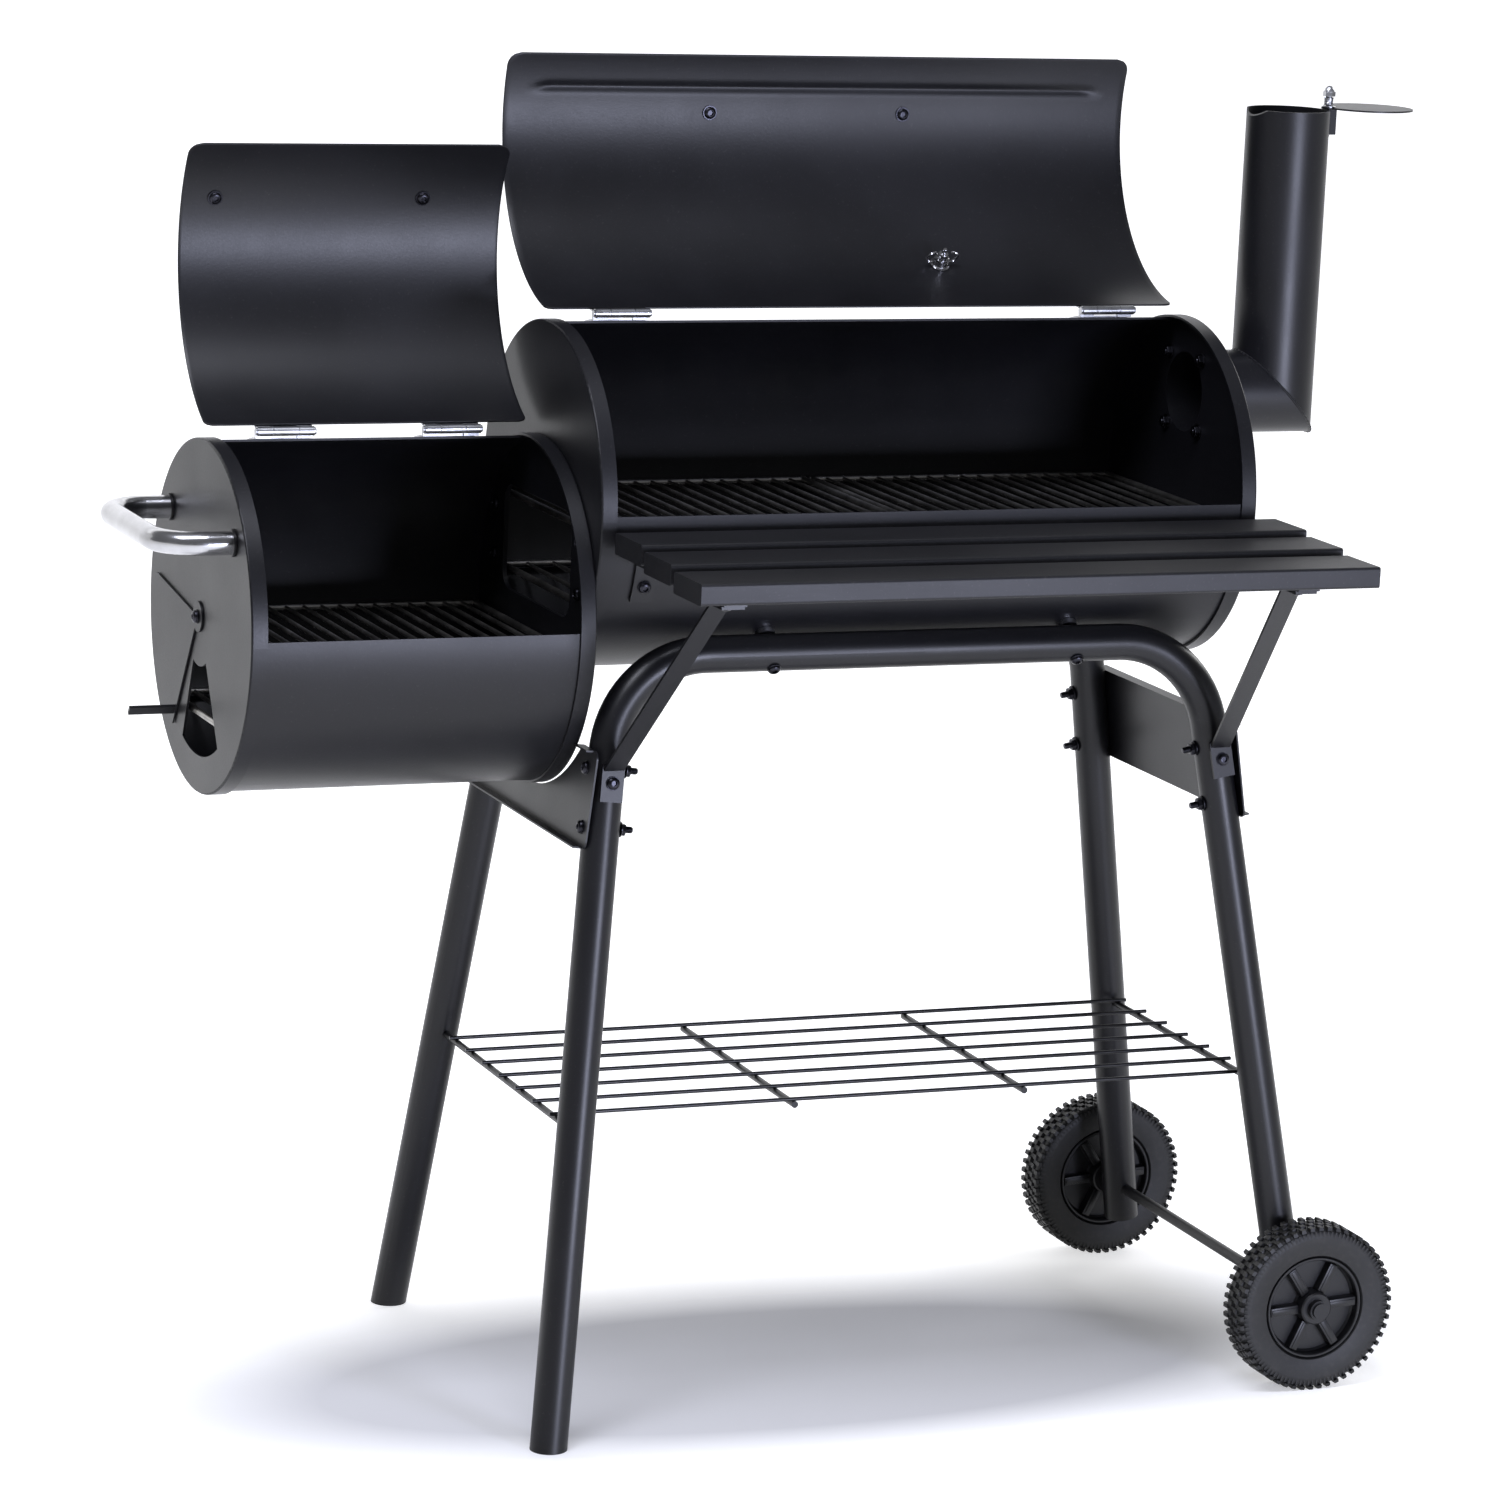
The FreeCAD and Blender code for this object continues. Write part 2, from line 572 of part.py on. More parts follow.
# ---- Barrels and caps ----

def open_shell(name, axis_start, length, holes):
    """Rolled sheet with its mouth open from the rear edge round to the front edge."""
    start = axis_start + ALONG * S.cap_wall
    full = "360 - mouth_front - mouth_rear"
    outer = sector(name + "_outer", start, S.mouth_front, "barrel_radius", length + " - 2 * cap_wall", full)
    inner = rod(name + "_inner", start - ALONG * 5, ALONG, "barrel_radius - barrel_wall", length + " + 10")
    return cut(name, outer, [inner] + holes)


def cap(name, centre, inward, holes):
    """A pressed end cap: a disc with a rim that slips over the barrel."""
    body = rod(name + "_body", centre, inward, "barrel_radius + rim_slip + cap_wall", "rim_width")
    room = rod(name + "_room", centre + inward * S.cap_wall, inward, "barrel_radius + rim_slip", "rim_width")
    cup = cut(name + "_cup", body, [room])

    def outer_edge(edge):
        """The round edge between the disc and its rim."""
        circle = isinstance(edge.Curve, Part.Circle)
        return circle and abs(edge.Curve.Radius - RIM_RADIUS) < 0.01 and \
            abs(edge.CenterOfMass.x - centre.x) < 0.01
    shaped = rounded(name + "_round", cup, S.rim_round, outer_edge)
    return cut(name, shaped, holes) if holes else shaped


def passage(name):
    """The smoke passage with rounded corners, through both touching caps."""
    place = FreeCAD.Placement(V(-10, -PASS_WIDTH / 2, S.pass_bottom), FreeCAD.Rotation())
    body = block(name + "_block", place, "20", "%r" % PASS_WIDTH, "pass_tall")

    def long_edge(edge):
        """An edge along x."""
        return abs(edge.Length - 20) < 0.01
    return rounded(name, body, S.pass_corner, long_edge)


bracket_holes = []
bracket_bolts = []
bracket_tab_angle = S.bracket_top + S.bracket_sweep * 0.6
for x in (S.bracket_left, S.bracket_right):
    out = radial(bracket_tab_angle)
    face = V(x, 0, S.main_height) + out * (S.barrel_radius + S.bracket_seat + S.bracket_wall)
    grip = S.barrel_wall + S.bracket_seat + S.bracket_wall
    bracket_holes.append((face, out * -1, grip))
    bracket_bolts.append(bolt("bracket_bolt_%d" % x, face, out * -1, grip, S.seat))

sheet_holes = [bolt_hole("bracket_sheet_%d" % i, *spec) for i, spec in enumerate(bracket_holes)]
node("main_shell", open_shell("MainShell", MAIN_AXIS, "main_length", barrel_holes + sheet_holes))
node("firebox_shell", open_shell("FireShell", FIRE_AXIS, "fire_length", []))

join_points = [(y, z) for y in (-JOIN_SPREAD, JOIN_SPREAD) for z in (S.join_low, S.join_low + S.join_rise)]
join_grip = 2 * S.cap_wall


def join_holes(name):
    """Holes for the bolts that clamp the two inner caps together."""
    return [bolt_hole("%s_%d" % (name, i), V(-S.cap_wall, y, z), ALONG, join_grip)
            for i, (y, z) in enumerate(join_points)]


joins = [bolt("join_%d" % i, V(-S.cap_wall, y, z), ALONG, join_grip) for i, (y, z) in enumerate(join_points)]
node("main_cap_left", cap("MainCapLeft", MAIN_AXIS, ALONG, [passage("MainPassage")] + join_holes("MainJoin")))
node("firebox_cap_right", cap("FireCapRight", V(0, 0, S.fire_height), ALONG * -1,
                              [passage("FirePassage")] + join_holes("FireJoin")))


# ---- Chimney: a level stub mitred to an upright pipe ----

outlet = V(S.main_length, 0, S.pipe_height)
elbow = V(PIPE_X, 0, S.pipe_height)
flange_ring = S.pipe_radius + S.flange_wide * 0.55
flange_points = [outlet + V(0, math.cos(math.radians(a)), math.sin(math.radians(a))) * flange_ring
                 for a in (45, 135, 225, 315)]
flange_grip = S.cap_wall + S.flange_wall
smoke_hole = rod("SmokeHole", outlet - ALONG * 10, ALONG, "pipe_radius - pipe_wall", "20")
cap_flange_holes = [bolt_hole("FlangeHole_%d" % i, p + ALONG * S.flange_wall, ALONG * -1, flange_grip)
                    for i, p in enumerate(flange_points)]
node("main_cap_right", cap("MainCapRight", MAIN_END, ALONG * -1, [smoke_hole] + cap_flange_holes))

reach = PIPE_X - S.main_length + S.pipe_radius + 10
stub_outer = rod("StubOuter", outlet, ALONG, "pipe_radius", "%r" % reach)
stub_inner = rod("StubInner", outlet - ALONG, ALONG, "pipe_radius - pipe_wall", "%r" % (reach + 2))
flange_disc = rod("FlangeDisc", outlet, ALONG, "pipe_radius + flange_wide", "flange_wall")
mitre_size = 400
mitre_turn = FreeCAD.Rotation(BACK, 45)
upper_side = block("UpperSide", FreeCAD.Placement(elbow, mitre_turn) *
                   FreeCAD.Placement(V(-mitre_size / 2, -mitre_size / 2, 0), FreeCAD.Rotation()), "400", "400", "400")
lower_side = block("LowerSide", FreeCAD.Placement(elbow, mitre_turn) *
                   FreeCAD.Placement(V(-mitre_size / 2, -mitre_size / 2, -mitre_size), FreeCAD.Rotation()),
                   "400", "400", "400")
stub = common("StubMitred", cut("Stub", fuse("StubBody", [stub_outer, flange_disc]), [stub_inner]), lower_side)
stub_holes = [bolt_hole("StubHole_%d" % i, p + ALONG * S.flange_wall, ALONG * -1, flange_grip)
              for i, p in enumerate(flange_points)]
node("chimney_elbow", cut("StubMade", stub, stub_holes))

riser_start = elbow - UP * (S.pipe_radius + 10)
riser_long = S.pipe_top - riser_start.z
riser_outer = rod("RiserOuter", riser_start, UP, "pipe_radius", "%r" % riser_long)
riser_inner = rod("RiserInner", riser_start - UP, UP, "pipe_radius - pipe_wall", "%r" % (riser_long + 2))
riser = common("RiserMitred", cut("Riser", riser_outer, [riser_inner]), upper_side)
pivot = V(PIPE_X + S.flap_offset, 0, S.pipe_top)
lug_length = S.flap_offset + S.flap_pin + 3 - (S.pipe_radius - S.pipe_wall / 2)
lug_place = FreeCAD.Placement(V(PIPE_X + S.pipe_radius - S.pipe_wall / 2, -6, S.pipe_top - S.lug_deep),
                              FreeCAD.Rotation())
lug = block("PivotLug", lug_place, "%r" % lug_length, "12", "lug_deep")
lug_bore = rod("LugBore", pivot - UP * 40, UP, "flap_pin + bolt_run", "60")
node("chimney_pipe", cut("RiserMade", fuse("RiserBody", [riser, lug]), [lug_bore]))

flange_bolts = [bolt("FlangeBolt_%d" % i, p + ALONG * S.flange_wall, ALONG * -1, flange_grip)
                for i, p in enumerate(flange_points)]
node("cap_bolts", group("CapBolts", joins + flange_bolts))

# The cap swings level about its pivot screw; it is made where it rests, clear of the mouth.
flap_centre = pivot + ALONG * S.flap_offset + UP * S.flap_lift
flap_disc = rod("FlapDisc", flap_centre, UP, "flap_radius", "flap_wall")
flap_ear = rod("FlapEar", pivot + UP * S.flap_lift, UP, "flap_ear", "flap_wall")
flap_bore = rod("FlapBore", pivot - UP * 5, UP, "flap_pin + axle_run", "20")
node("chimney_cap", cut("FlapMade", fuse("FlapBody", [flap_disc, flap_ear]), [flap_bore]))

spring_base = S.pipe_top + S.flap_lift + S.flap_wall + 0.4
pin_bottom = S.pipe_top - S.lug_deep - 2
acorn_base = spring_base + S.spring_tall + 0.2
pin_parts = [
    rod("PivotPin", V(pivot.x, 0, pin_bottom), UP, "flap_pin", "%r" % (acorn_base + 3 - pin_bottom)),
    hexagon("AcornHex", V(pivot.x, 0, acorn_base), UP, "bolt_hex", "bolt_nut"),
]
dome = doc.addObject("Part::Sphere", "AcornDome")
bind(dome, "Radius", "bolt_hex * 0.8")
dome.Placement = FreeCAD.Placement(V(pivot.x, 0, acorn_base + S.bolt_nut), FreeCAD.Rotation())

# The pivot spring is a stack of wire rings that press on the cap.
rings = []
for turn in range(int(S.spring_turns)):
    height = spring_base + S.spring_wire + turn * (S.spring_tall - 2 * S.spring_wire) / (S.spring_turns - 1)
    rings.append(bend("SpringRing_%d" % turn, V(pivot.x, 0, height), UP, ALONG, "spring_radius - spring_wire",
                      "spring_wire", 360))
post = rod("SpringPost", V(pivot.x + S.spring_radius - 2 * S.spring_wire, 0, spring_base + S.spring_wire), UP,
           "spring_wire * 0.9", "spring_tall - 2 * spring_wire")
node("chimney_pivot", group("PivotAndSpring", [fuse("PivotMade", pin_parts + [dome]),
                                               fuse("SpringMade", rings + [post])]))


# ---- Handles ----

def handle(name, seat, out, along):
    """A U-shaped tube: two legs, two bends and a bar, with a threaded bore in each leg."""
    place = frame(seat, out, along)
    turn = place.Rotation
    side = turn.multVec(ALONG)
    bar = S.handle_reach - S.handle_radius
    pieces = []
    bores = []
    for end in (-1, 1):
        foot = seat + side * (end * S.handle_span / 2)
        pieces.append(rod("%s_leg_%d" % (name, end + 1), foot, out, "handle_radius",
                          "handle_reach - handle_radius - handle_bend"))
        centre = foot - side * (end * S.handle_bend) + out * (bar - S.handle_bend)
        axis = (side * end).cross(out)
        pieces.append(bend("%s_bend_%d" % (name, end + 1), centre, axis, side * end, "handle_bend",
                           "handle_radius", 90))
        bores.append(rod("%s_bore_%d" % (name, end + 1), foot - out, out, "handle_bore", "handle_bore_depth + 1"))
    start = seat - side * (S.handle_span / 2 - S.handle_bend) + out * bar
    pieces.append(rod(name + "_bar", start, side, "handle_radius", "handle_span - 2 * handle_bend"))
    return cut(name, fuse(name + "_body", pieces), bores)


def handle_points(seat, along):
    """Where a handle's two legs stand."""
    return [seat + V(along) * (end * S.handle_span / 2) for end in (-1, 1)]


cap_face = V(-S.fire_length, 0, S.side_handle_height)
node("side_handle", handle("SideHandle", cap_face, ALONG * -1, BACK))
side_points = handle_points(cap_face, BACK)
side_screws = [screw("SideScrew_%d" % i, p + ALONG * S.cap_wall, ALONG * -1, S.cap_wall + 18)
               for i, p in enumerate(side_points)]
node("side_handle_screws", group("SideHandleScrews", side_screws))
side_holes = [bolt_hole("SideHole_%d" % i, p + ALONG * S.cap_wall, ALONG * -1, S.cap_wall)
              for i, p in enumerate(side_points)]


# ---- Firebox end: vent hole and damper ----

def ring_part(name, x, thickness, near, far, angle, middle):
    """A flat part-ring on the firebox cap; its middle is counted from straight down to the front."""
    centre = V(x, 0, S.fire_height)
    start = 180 - middle - angle / 2
    outer = sector(name + "_outer", centre, start, "%r" % far, "%r" % thickness, "%r" % angle)
    if near <= 0:
        return outer
    inner = rod(name + "_inner", centre - ALONG * 5, ALONG, "%r" % near, "%r" % (thickness + 10))
    return cut(name, outer, [inner])


vent_hole = ring_part("VentHole", -S.fire_length - 5, S.cap_wall + 10, S.vent_near, S.vent_far, S.vent_angle,
                      S.vent_lean)
hub_centre = V(-S.fire_length, 0, S.fire_height)
pivot_hole = rod("VentPivotHole", hub_centre - ALONG * 5, ALONG, "bolt_radius + bolt_run", "20")
node("firebox_cap_left", cap("FireCapLeft", FIRE_AXIS, ALONG, side_holes + [vent_hole, pivot_hole]))

plate_x = -S.fire_length - S.vent_gap - S.vent_wall
lap_angle = math.degrees(S.vent_lap / (S.vent_near + S.vent_lap)) * 0.9
plate_angle = S.vent_angle + 2 * lap_angle
plate_middle = S.vent_lean - S.vent_open
plate = ring_part("DamperPlate", plate_x, S.vent_wall, 0, S.vent_far + S.vent_lap, plate_angle, plate_middle)
hub = rod("DamperHub", V(plate_x, 0, S.fire_height), ALONG, "vent_hub", "vent_wall")
tab_out = radial(180 - plate_middle - plate_angle / 2 + 1.5)
tab_point = V(plate_x, 0, S.fire_height) + tab_out * (S.vent_far - S.vent_tab_wide * 1.5)
tab_place = frame(tab_point, ALONG * -1, tab_out) * FreeCAD.Placement(V(0, -S.vent_wall, -S.vent_wall),
                                                                      FreeCAD.Rotation())
tab = block("DamperTab", tab_place, "vent_tab_wide", "vent_wall * 2", "vent_tab_long + vent_wall")
damper_bore = rod("DamperBore", V(plate_x - 5, 0, S.fire_height), ALONG, "bolt_radius + axle_run", "20")
node("vent_damper", cut("DamperMade", fuse("DamperBody", [plate, hub, tab]), [damper_bore]))

pivot_grip = S.cap_wall + S.vent_gap + S.vent_wall + 0.4
node("vent_pivot", bolt("VentPivot", V(plate_x - 0.4, 0, S.fire_height), ALONG, pivot_grip))


# ---- Hinges and lids ----

def hinge_frame_point(axis_point, x):
    """A point on a barrel's hinge pin line."""
    return V(x, 0, axis_point.z) + radial(-S.hinge_angle) * HINGE_RADIUS


def curved_leaf(name, x, z, start, near, width, sweep):
    """A thin strip that follows a barrel's curve."""
    centre = V(x, 0, z)
    outer = sector(name + "_outer", centre, start, "%r" % (near + S.leaf_wall), width, "%r" % sweep)
    inner = rod(name + "_inner", centre - ALONG * 5, ALONG, "%r" % near, width + " + 10")
    return cut(name, outer, [inner])


def knuckle(name, x, pin, long):
    """A round knuckle on a hinge's pin line."""
    return rod(name, V(x, pin.y, pin.z), ALONG, "knuckle_radius", "%r" % long)


def barrel_leaf(name, centre_x, z):
    """The fixed leaf behind the pin, with a knuckle at each end."""
    pin = hinge_frame_point(V(0, 0, z), centre_x)
    x = centre_x - S.hinge_width / 2
    side = (S.hinge_width - S.knuckle_middle) / 2 - S.knuckle_gap
    near = S.barrel_radius + S.leaf_seat
    start = -S.mouth_rear - S.leaf_reach
    pieces = [curved_leaf(name + "_strip", x, z, start, near, "hinge_width", S.leaf_reach)]
    for i, left in enumerate((x, x + S.hinge_width - side)):
        pieces.append(knuckle("%s_knuckle_%d" % (name, i), left, pin, side))
        neck_outer = sector("%s_neck_%d_outer" % (name, i), V(left, 0, z), -S.mouth_rear - 0.8,
                            "%r" % (HINGE_RADIUS + 1), "%r" % side, "1.4")
        neck_inner = rod("%s_neck_%d_inner" % (name, i), V(left - 5, 0, z), ALONG, "%r" % near, "%r" % (side + 10))
        pieces.append(cut("%s_neck_%d" % (name, i), neck_outer, [neck_inner]))
    bore = rod(name + "_bore", V(x - 5, pin.y, pin.z), ALONG, "pin_radius + hinge_run", "hinge_width + 10")
    return cut(name, fuse(name + "_body", pieces), [bore])


def lid_leaf(name, centre_x, z):
    """The moving leaf in front of the pin, on the lid's outside, with the middle knuckle."""
    pin = hinge_frame_point(V(0, 0, z), centre_x)
    x = centre_x - S.hinge_width / 2
    near = LID_OUTSIDE + S.leaf_seat
    middle = centre_x - S.knuckle_middle / 2
    pieces = [
        curved_leaf(name + "_strip", x, z, -S.lid_rear, near, "hinge_width", S.leaf_reach),
        curved_leaf(name + "_neck", middle, z, -S.hinge_angle, near, "knuckle_middle", S.leaf_reach),
        knuckle(name + "_knuckle", middle, pin, S.knuckle_middle),
    ]
    bore = rod(name + "_bore", V(x - 5, pin.y, pin.z), ALONG, "pin_radius + hinge_run", "hinge_width + 10")
    return cut(name, fuse(name + "_body", pieces), [bore])


def hinge_pin(name, centre_x, z):
    """A headed pin through one hinge."""
    pin = hinge_frame_point(V(0, 0, z), centre_x)
    left = centre_x - S.hinge_width / 2
    stem = rod(name + "_stem", V(left - 1.5, pin.y, pin.z), ALONG, "pin_radius", "hinge_width + 3")
    heads = [rod("%s_head_%d" % (name, i), V(x, pin.y, pin.z), ALONG, "pin_radius + 1", "1.2")
             for i, x in enumerate((left - 1.5, left + S.hinge_width + 0.3))]
    return fuse(name, [stem] + heads)


def lid_place(z, angle):
    """The lid's rest placement: swung open about its hinge pin."""
    pin = hinge_frame_point(V(0, 0, z), 0)
    turn = FreeCAD.Placement(V(0, 0, 0), FreeCAD.Rotation(ALONG, -angle), pin)
    return BASE * turn


def lid_sheet(name, x_start, long, z, holes):
    """A rolled lid with rounded front corners and one stiffening bead."""
    centre = V(x_start + S.lid_inset, 0, z)
    width = long - 2 * S.lid_inset
    sweep = "lid_front + lid_rear"
    outer = sector(name + "_outer", centre, -S.lid_rear, "%r" % LID_OUTSIDE, "%r" % width, sweep)
    inner = rod(name + "_inner", centre - ALONG * 5, ALONG, "%r" % LID_INSIDE, "%r" % (width + 10))
    body = cut(name + "_rolled", outer, [inner])

    def front_corner(edge):
        """A short radial edge at the lid's front."""
        straight = isinstance(edge.Curve, Part.Line)
        front = edge.CenterOfMass.sub(V(edge.CenterOfMass.x, 0, z)).dot(radial(S.lid_front)) > LID_INSIDE - 1
        return straight and abs(edge.Length - S.lid_wall) < 0.01 and front
    ridge_place = V(x_start + S.bead_inset, 0, z) + radial(S.bead_angle) * LID_OUTSIDE
    ridge = rod(name + "_ridge", ridge_place, ALONG, "bead_radius", "%r" % (long - 2 * S.bead_inset))
    ends = []
    for i, x in enumerate((x_start + S.bead_inset, x_start + long - S.bead_inset)):
        tip = doc.addObject("Part::Sphere", "%s_tip_%d" % (name, i))
        bind(tip, "Radius", "bead_radius")
        tip.Placement = FreeCAD.Placement(V(x, ridge_place.y, ridge_place.z), FreeCAD.Rotation())
        ends.append(tip)
    groove = rod(name + "_groove", ridge_place + ALONG, ALONG, "bead_radius - lid_wall * 0.7",
                 "%r" % (long - 2 * S.bead_inset - 2))
    hollow = rod(name + "_hollow", centre - ALONG * 5, ALONG, "%r" % LID_INSIDE, "%r" % (width + 10))
    raised = cut(name + "_raised", fuse(name + "_bead", [ridge] + ends), [hollow])
    shaped = rounded(name + "_corners", fuse(name + "_beaded", [body, raised], False), S.lid_corner, front_corner)
    return cut(name, cut(name + "_grooved", shaped, [groove]), holes)


def lid(prefix, x_start, long, z, hinge_xs, handle_x, angle, holes):
    """A whole lid: sheet, hinge leaves, handle and handle screws, shut, then swung open."""
    place = lid_place(z, angle)
    out = radial(S.lid_handle_angle)
    seat = V(handle_x, 0, z) + out * (LID_OUTSIDE + S.handle_seat)
    inside = V(handle_x, 0, z) + out * (LID_INSIDE - 0.2)
    points = handle_points(inside, ALONG)
    cuts = [bolt_hole("%s_handle_hole_%d" % (prefix, i), p, out, S.lid_wall) for i, p in enumerate(points)]
    screws = [screw("%s_screw_%d" % (prefix, i), p, out, S.lid_wall + 18) for i, p in enumerate(points)]
    leaves = [lid_leaf("%s_leaf_%d" % (prefix, i), x, z) for i, x in enumerate(hinge_xs)]
    node(prefix + "_lid_shell", lid_sheet(prefix + "_sheet", x_start, long, z, cuts + holes), place)
    node(prefix + "_lid_handle", handle(prefix + "_handle", seat, out, ALONG), place)
    node(prefix + "_lid_screws", group(prefix + "_screws", screws), place)
    node(prefix + "_lid_hinges", group(prefix + "_leaves", leaves), place)


main_hinges = (S.hinge_main_inset, S.main_length - S.hinge_main_inset)
fire_hinges = (S.hinge_fire_inset - S.fire_length, -S.hinge_fire_inset)
fixed_leaves = []
pins = []
for xs, z in ((main_hinges, S.main_height), (fire_hinges, S.fire_height)):
    for x in xs:
        fixed_leaves.append(barrel_leaf("fixed_leaf_%d" % len(fixed_leaves), x, z))
        pins.append(hinge_pin("pin_%d" % len(pins), x, z))
node("barrel_hinges", group("BarrelHinges", fixed_leaves))
node("hinge_pins", group("HingePins", pins))

gauge_out = radial(S.gauge_angle)
gauge_seat = V(S.gauge_x, 0, S.main_height) + gauge_out * (LID_OUTSIDE + 0.1)
gauge_hole = rod("GaugeHole", gauge_seat - gauge_out * 10, gauge_out, "gauge_stem + bolt_run", "20")
lid("main", 0, S.main_length, S.main_height, main_hinges, S.main_handle_x, S.main_open, [gauge_hole])
lid("firebox", -S.fire_length, S.fire_length, S.fire_height, fire_hinges, S.fire_handle_x, S.fire_open, [])


# ---- Thermometer ----

main_place = lid_place(S.main_height, S.main_open)
case_base = gauge_seat + gauge_out * S.gauge_neck_tall
case_body = rod("GaugeBody", case_base, gauge_out, "gauge_radius", "gauge_depth")
case_room = rod("GaugeRoom", case_base + gauge_out * S.gauge_wall, gauge_out, "gauge_radius - gauge_wall",
                "gauge_depth")
stem_top = gauge_seat - gauge_out * (S.gauge_stem_long + S.lid_wall)
case_parts = [
    cut("GaugeCup", case_body, [case_room]),
    rod("GaugeNeck", gauge_seat, gauge_out, "gauge_neck", "gauge_neck_tall + gauge_wall / 2"),
    rod("GaugeStem", stem_top, gauge_out, "gauge_stem", "gauge_stem_long + lid_wall + 1"),
    rod("GaugeProbe", stem_top - gauge_out * S.gauge_probe_long, gauge_out, "gauge_probe", "gauge_probe_long + 1"),
]
node("thermometer_case", fuse("GaugeCase", case_parts), main_place)
dial_base = case_base + gauge_out * S.gauge_wall
node("thermometer_dial", rod("GaugeDial", dial_base, gauge_out, "gauge_radius - gauge_wall - 0.2", "gauge_dial"),
     main_place)
lens_base = case_base + gauge_out * (S.gauge_depth - S.gauge_glass - 0.8)
node("thermometer_lens", rod("GaugeLens", lens_base, gauge_out, "gauge_radius - gauge_wall - 0.05", "gauge_glass"),
     main_place)
pointer_base = dial_base + gauge_out * (S.gauge_dial + 2.0)
pointer_post_base = dial_base + gauge_out * (S.gauge_dial + 0.2)
needle_place = frame(pointer_base, gauge_out, ALONG) * \
    FreeCAD.Placement(V(-S.pointer_long * 0.35, -S.pointer_wide / 2, 0), FreeCAD.Rotation())
needle_parts = [
    block("PointerNeedle", needle_place, "pointer_long", "pointer_wide", "pointer_wall"),
    rod("PointerHub", pointer_post_base, gauge_out, "3", "3"),
]
node("thermometer_pointer", fuse("GaugePointer", needle_parts), main_place)

wing_seat = gauge_seat - gauge_out * (S.lid_wall + 0.5)
wing_body = rod("WingHub", wing_seat - gauge_out * S.wing_tall, gauge_out, "wing_radius", "wing_tall")
wing_span = FreeCAD.Placement(V(-S.wing_span / 2, -S.wing_wall / 2, -S.wing_tall), FreeCAD.Rotation())
wing_plate = block("WingPlate", frame(wing_seat, gauge_out, ALONG) * wing_span, "wing_span", "wing_wall", "wing_tall")
wing_bore = rod("WingBore", wing_seat - gauge_out * 20, gauge_out, "gauge_stem + bolt_run", "40")
node("thermometer_nut", cut("WingMade", fuse("WingBody", [wing_body, wing_plate]), [wing_bore]), main_place)


# ---- Shelf ----

def slat_edge(edge):
    """A long edge of a slat."""
    return abs(edge.Length - S.shelf_long) < 0.01


brackets = []
screws = []
slat_bores = [[], [], []]
slats = ("shelf_slat_front", "shelf_slat_middle", "shelf_slat_rear")
for i, x in enumerate((S.bracket_left, S.bracket_right)):
    left = x - S.bracket_wide / 2
    top = S.shelf_under
    rear = -(S.barrel_radius - 1.5)
    bar = block("bracket_%d_bar" % i, FreeCAD.Placement(V(left, S.bracket_front, top - S.bracket_wall),
                                                        FreeCAD.Rotation()),
                "bracket_wide", "%r" % (rear - S.bracket_front), "bracket_wall")
    tab_centre = V(left, 0, S.main_height)
    tab_outer = sector("bracket_%d_tab_outer" % i, tab_centre, S.bracket_top,
                       "barrel_radius + bracket_seat + bracket_wall", "bracket_wide", "bracket_sweep")
    tab_inner = rod("bracket_%d_tab_inner" % i, tab_centre - ALONG * 5, ALONG, "barrel_radius + bracket_seat",
                    "bracket_wide + 10")
    parts = [bar, cut("bracket_%d_tab" % i, tab_outer, [tab_inner])]
    bores = [bolt_hole("bracket_%d_slot" % i, *bracket_holes[i])]
    for row in range(3):
        y = S.shelf_front + S.slat_wide / 2 + row * (S.slat_wide + S.slat_gap)
        under = top + row * S.slat_step
        if row:
            pad_place = FreeCAD.Placement(V(left, y - 15, top - 0.5), FreeCAD.Rotation())
            parts.append(block("bracket_%d_pad_%d" % (i, row), pad_place, "bracket_wide", "30",
                               "slat_step * %d + 0.5" % row))
        layers = 1 if row else 2
        seat = V(x, y, top - S.bracket_wall * layers)
        long = under - seat.z + 11
        screws.append(screw("shelf_screw_%d_%d" % (i, row), seat, UP, long))
        bores.append(rod("bracket_%d_bore_%d" % (i, row), seat - UP * 2, UP, "bolt_radius + bolt_run",
                         "%r" % (under - seat.z + 4)))
        slat_bores[row].append(rod("slat_bore_%d_%d" % (i, row), V(x, y, under - 1), UP, "bolt_radius + bolt_run",
                                   "13"))
    brackets.append(cut("bracket_%d" % i, fuse("bracket_%d_body" % i, parts), bores))

for row, label in enumerate(slats):
    corner_point = V(S.shelf_left, S.shelf_front + row * (S.slat_wide + S.slat_gap), S.shelf_under + row * S.slat_step)
    plank = block(label + "_plank", FreeCAD.Placement(corner_point, FreeCAD.Rotation()), "shelf_long", "slat_wide",
                  "slat_tall")
    node(label, cut(label + "_made", rounded(label + "_round", plank, S.slat_round, slat_edge), slat_bores[row]))

node("shelf_screws", group("ShelfScrews", screws))

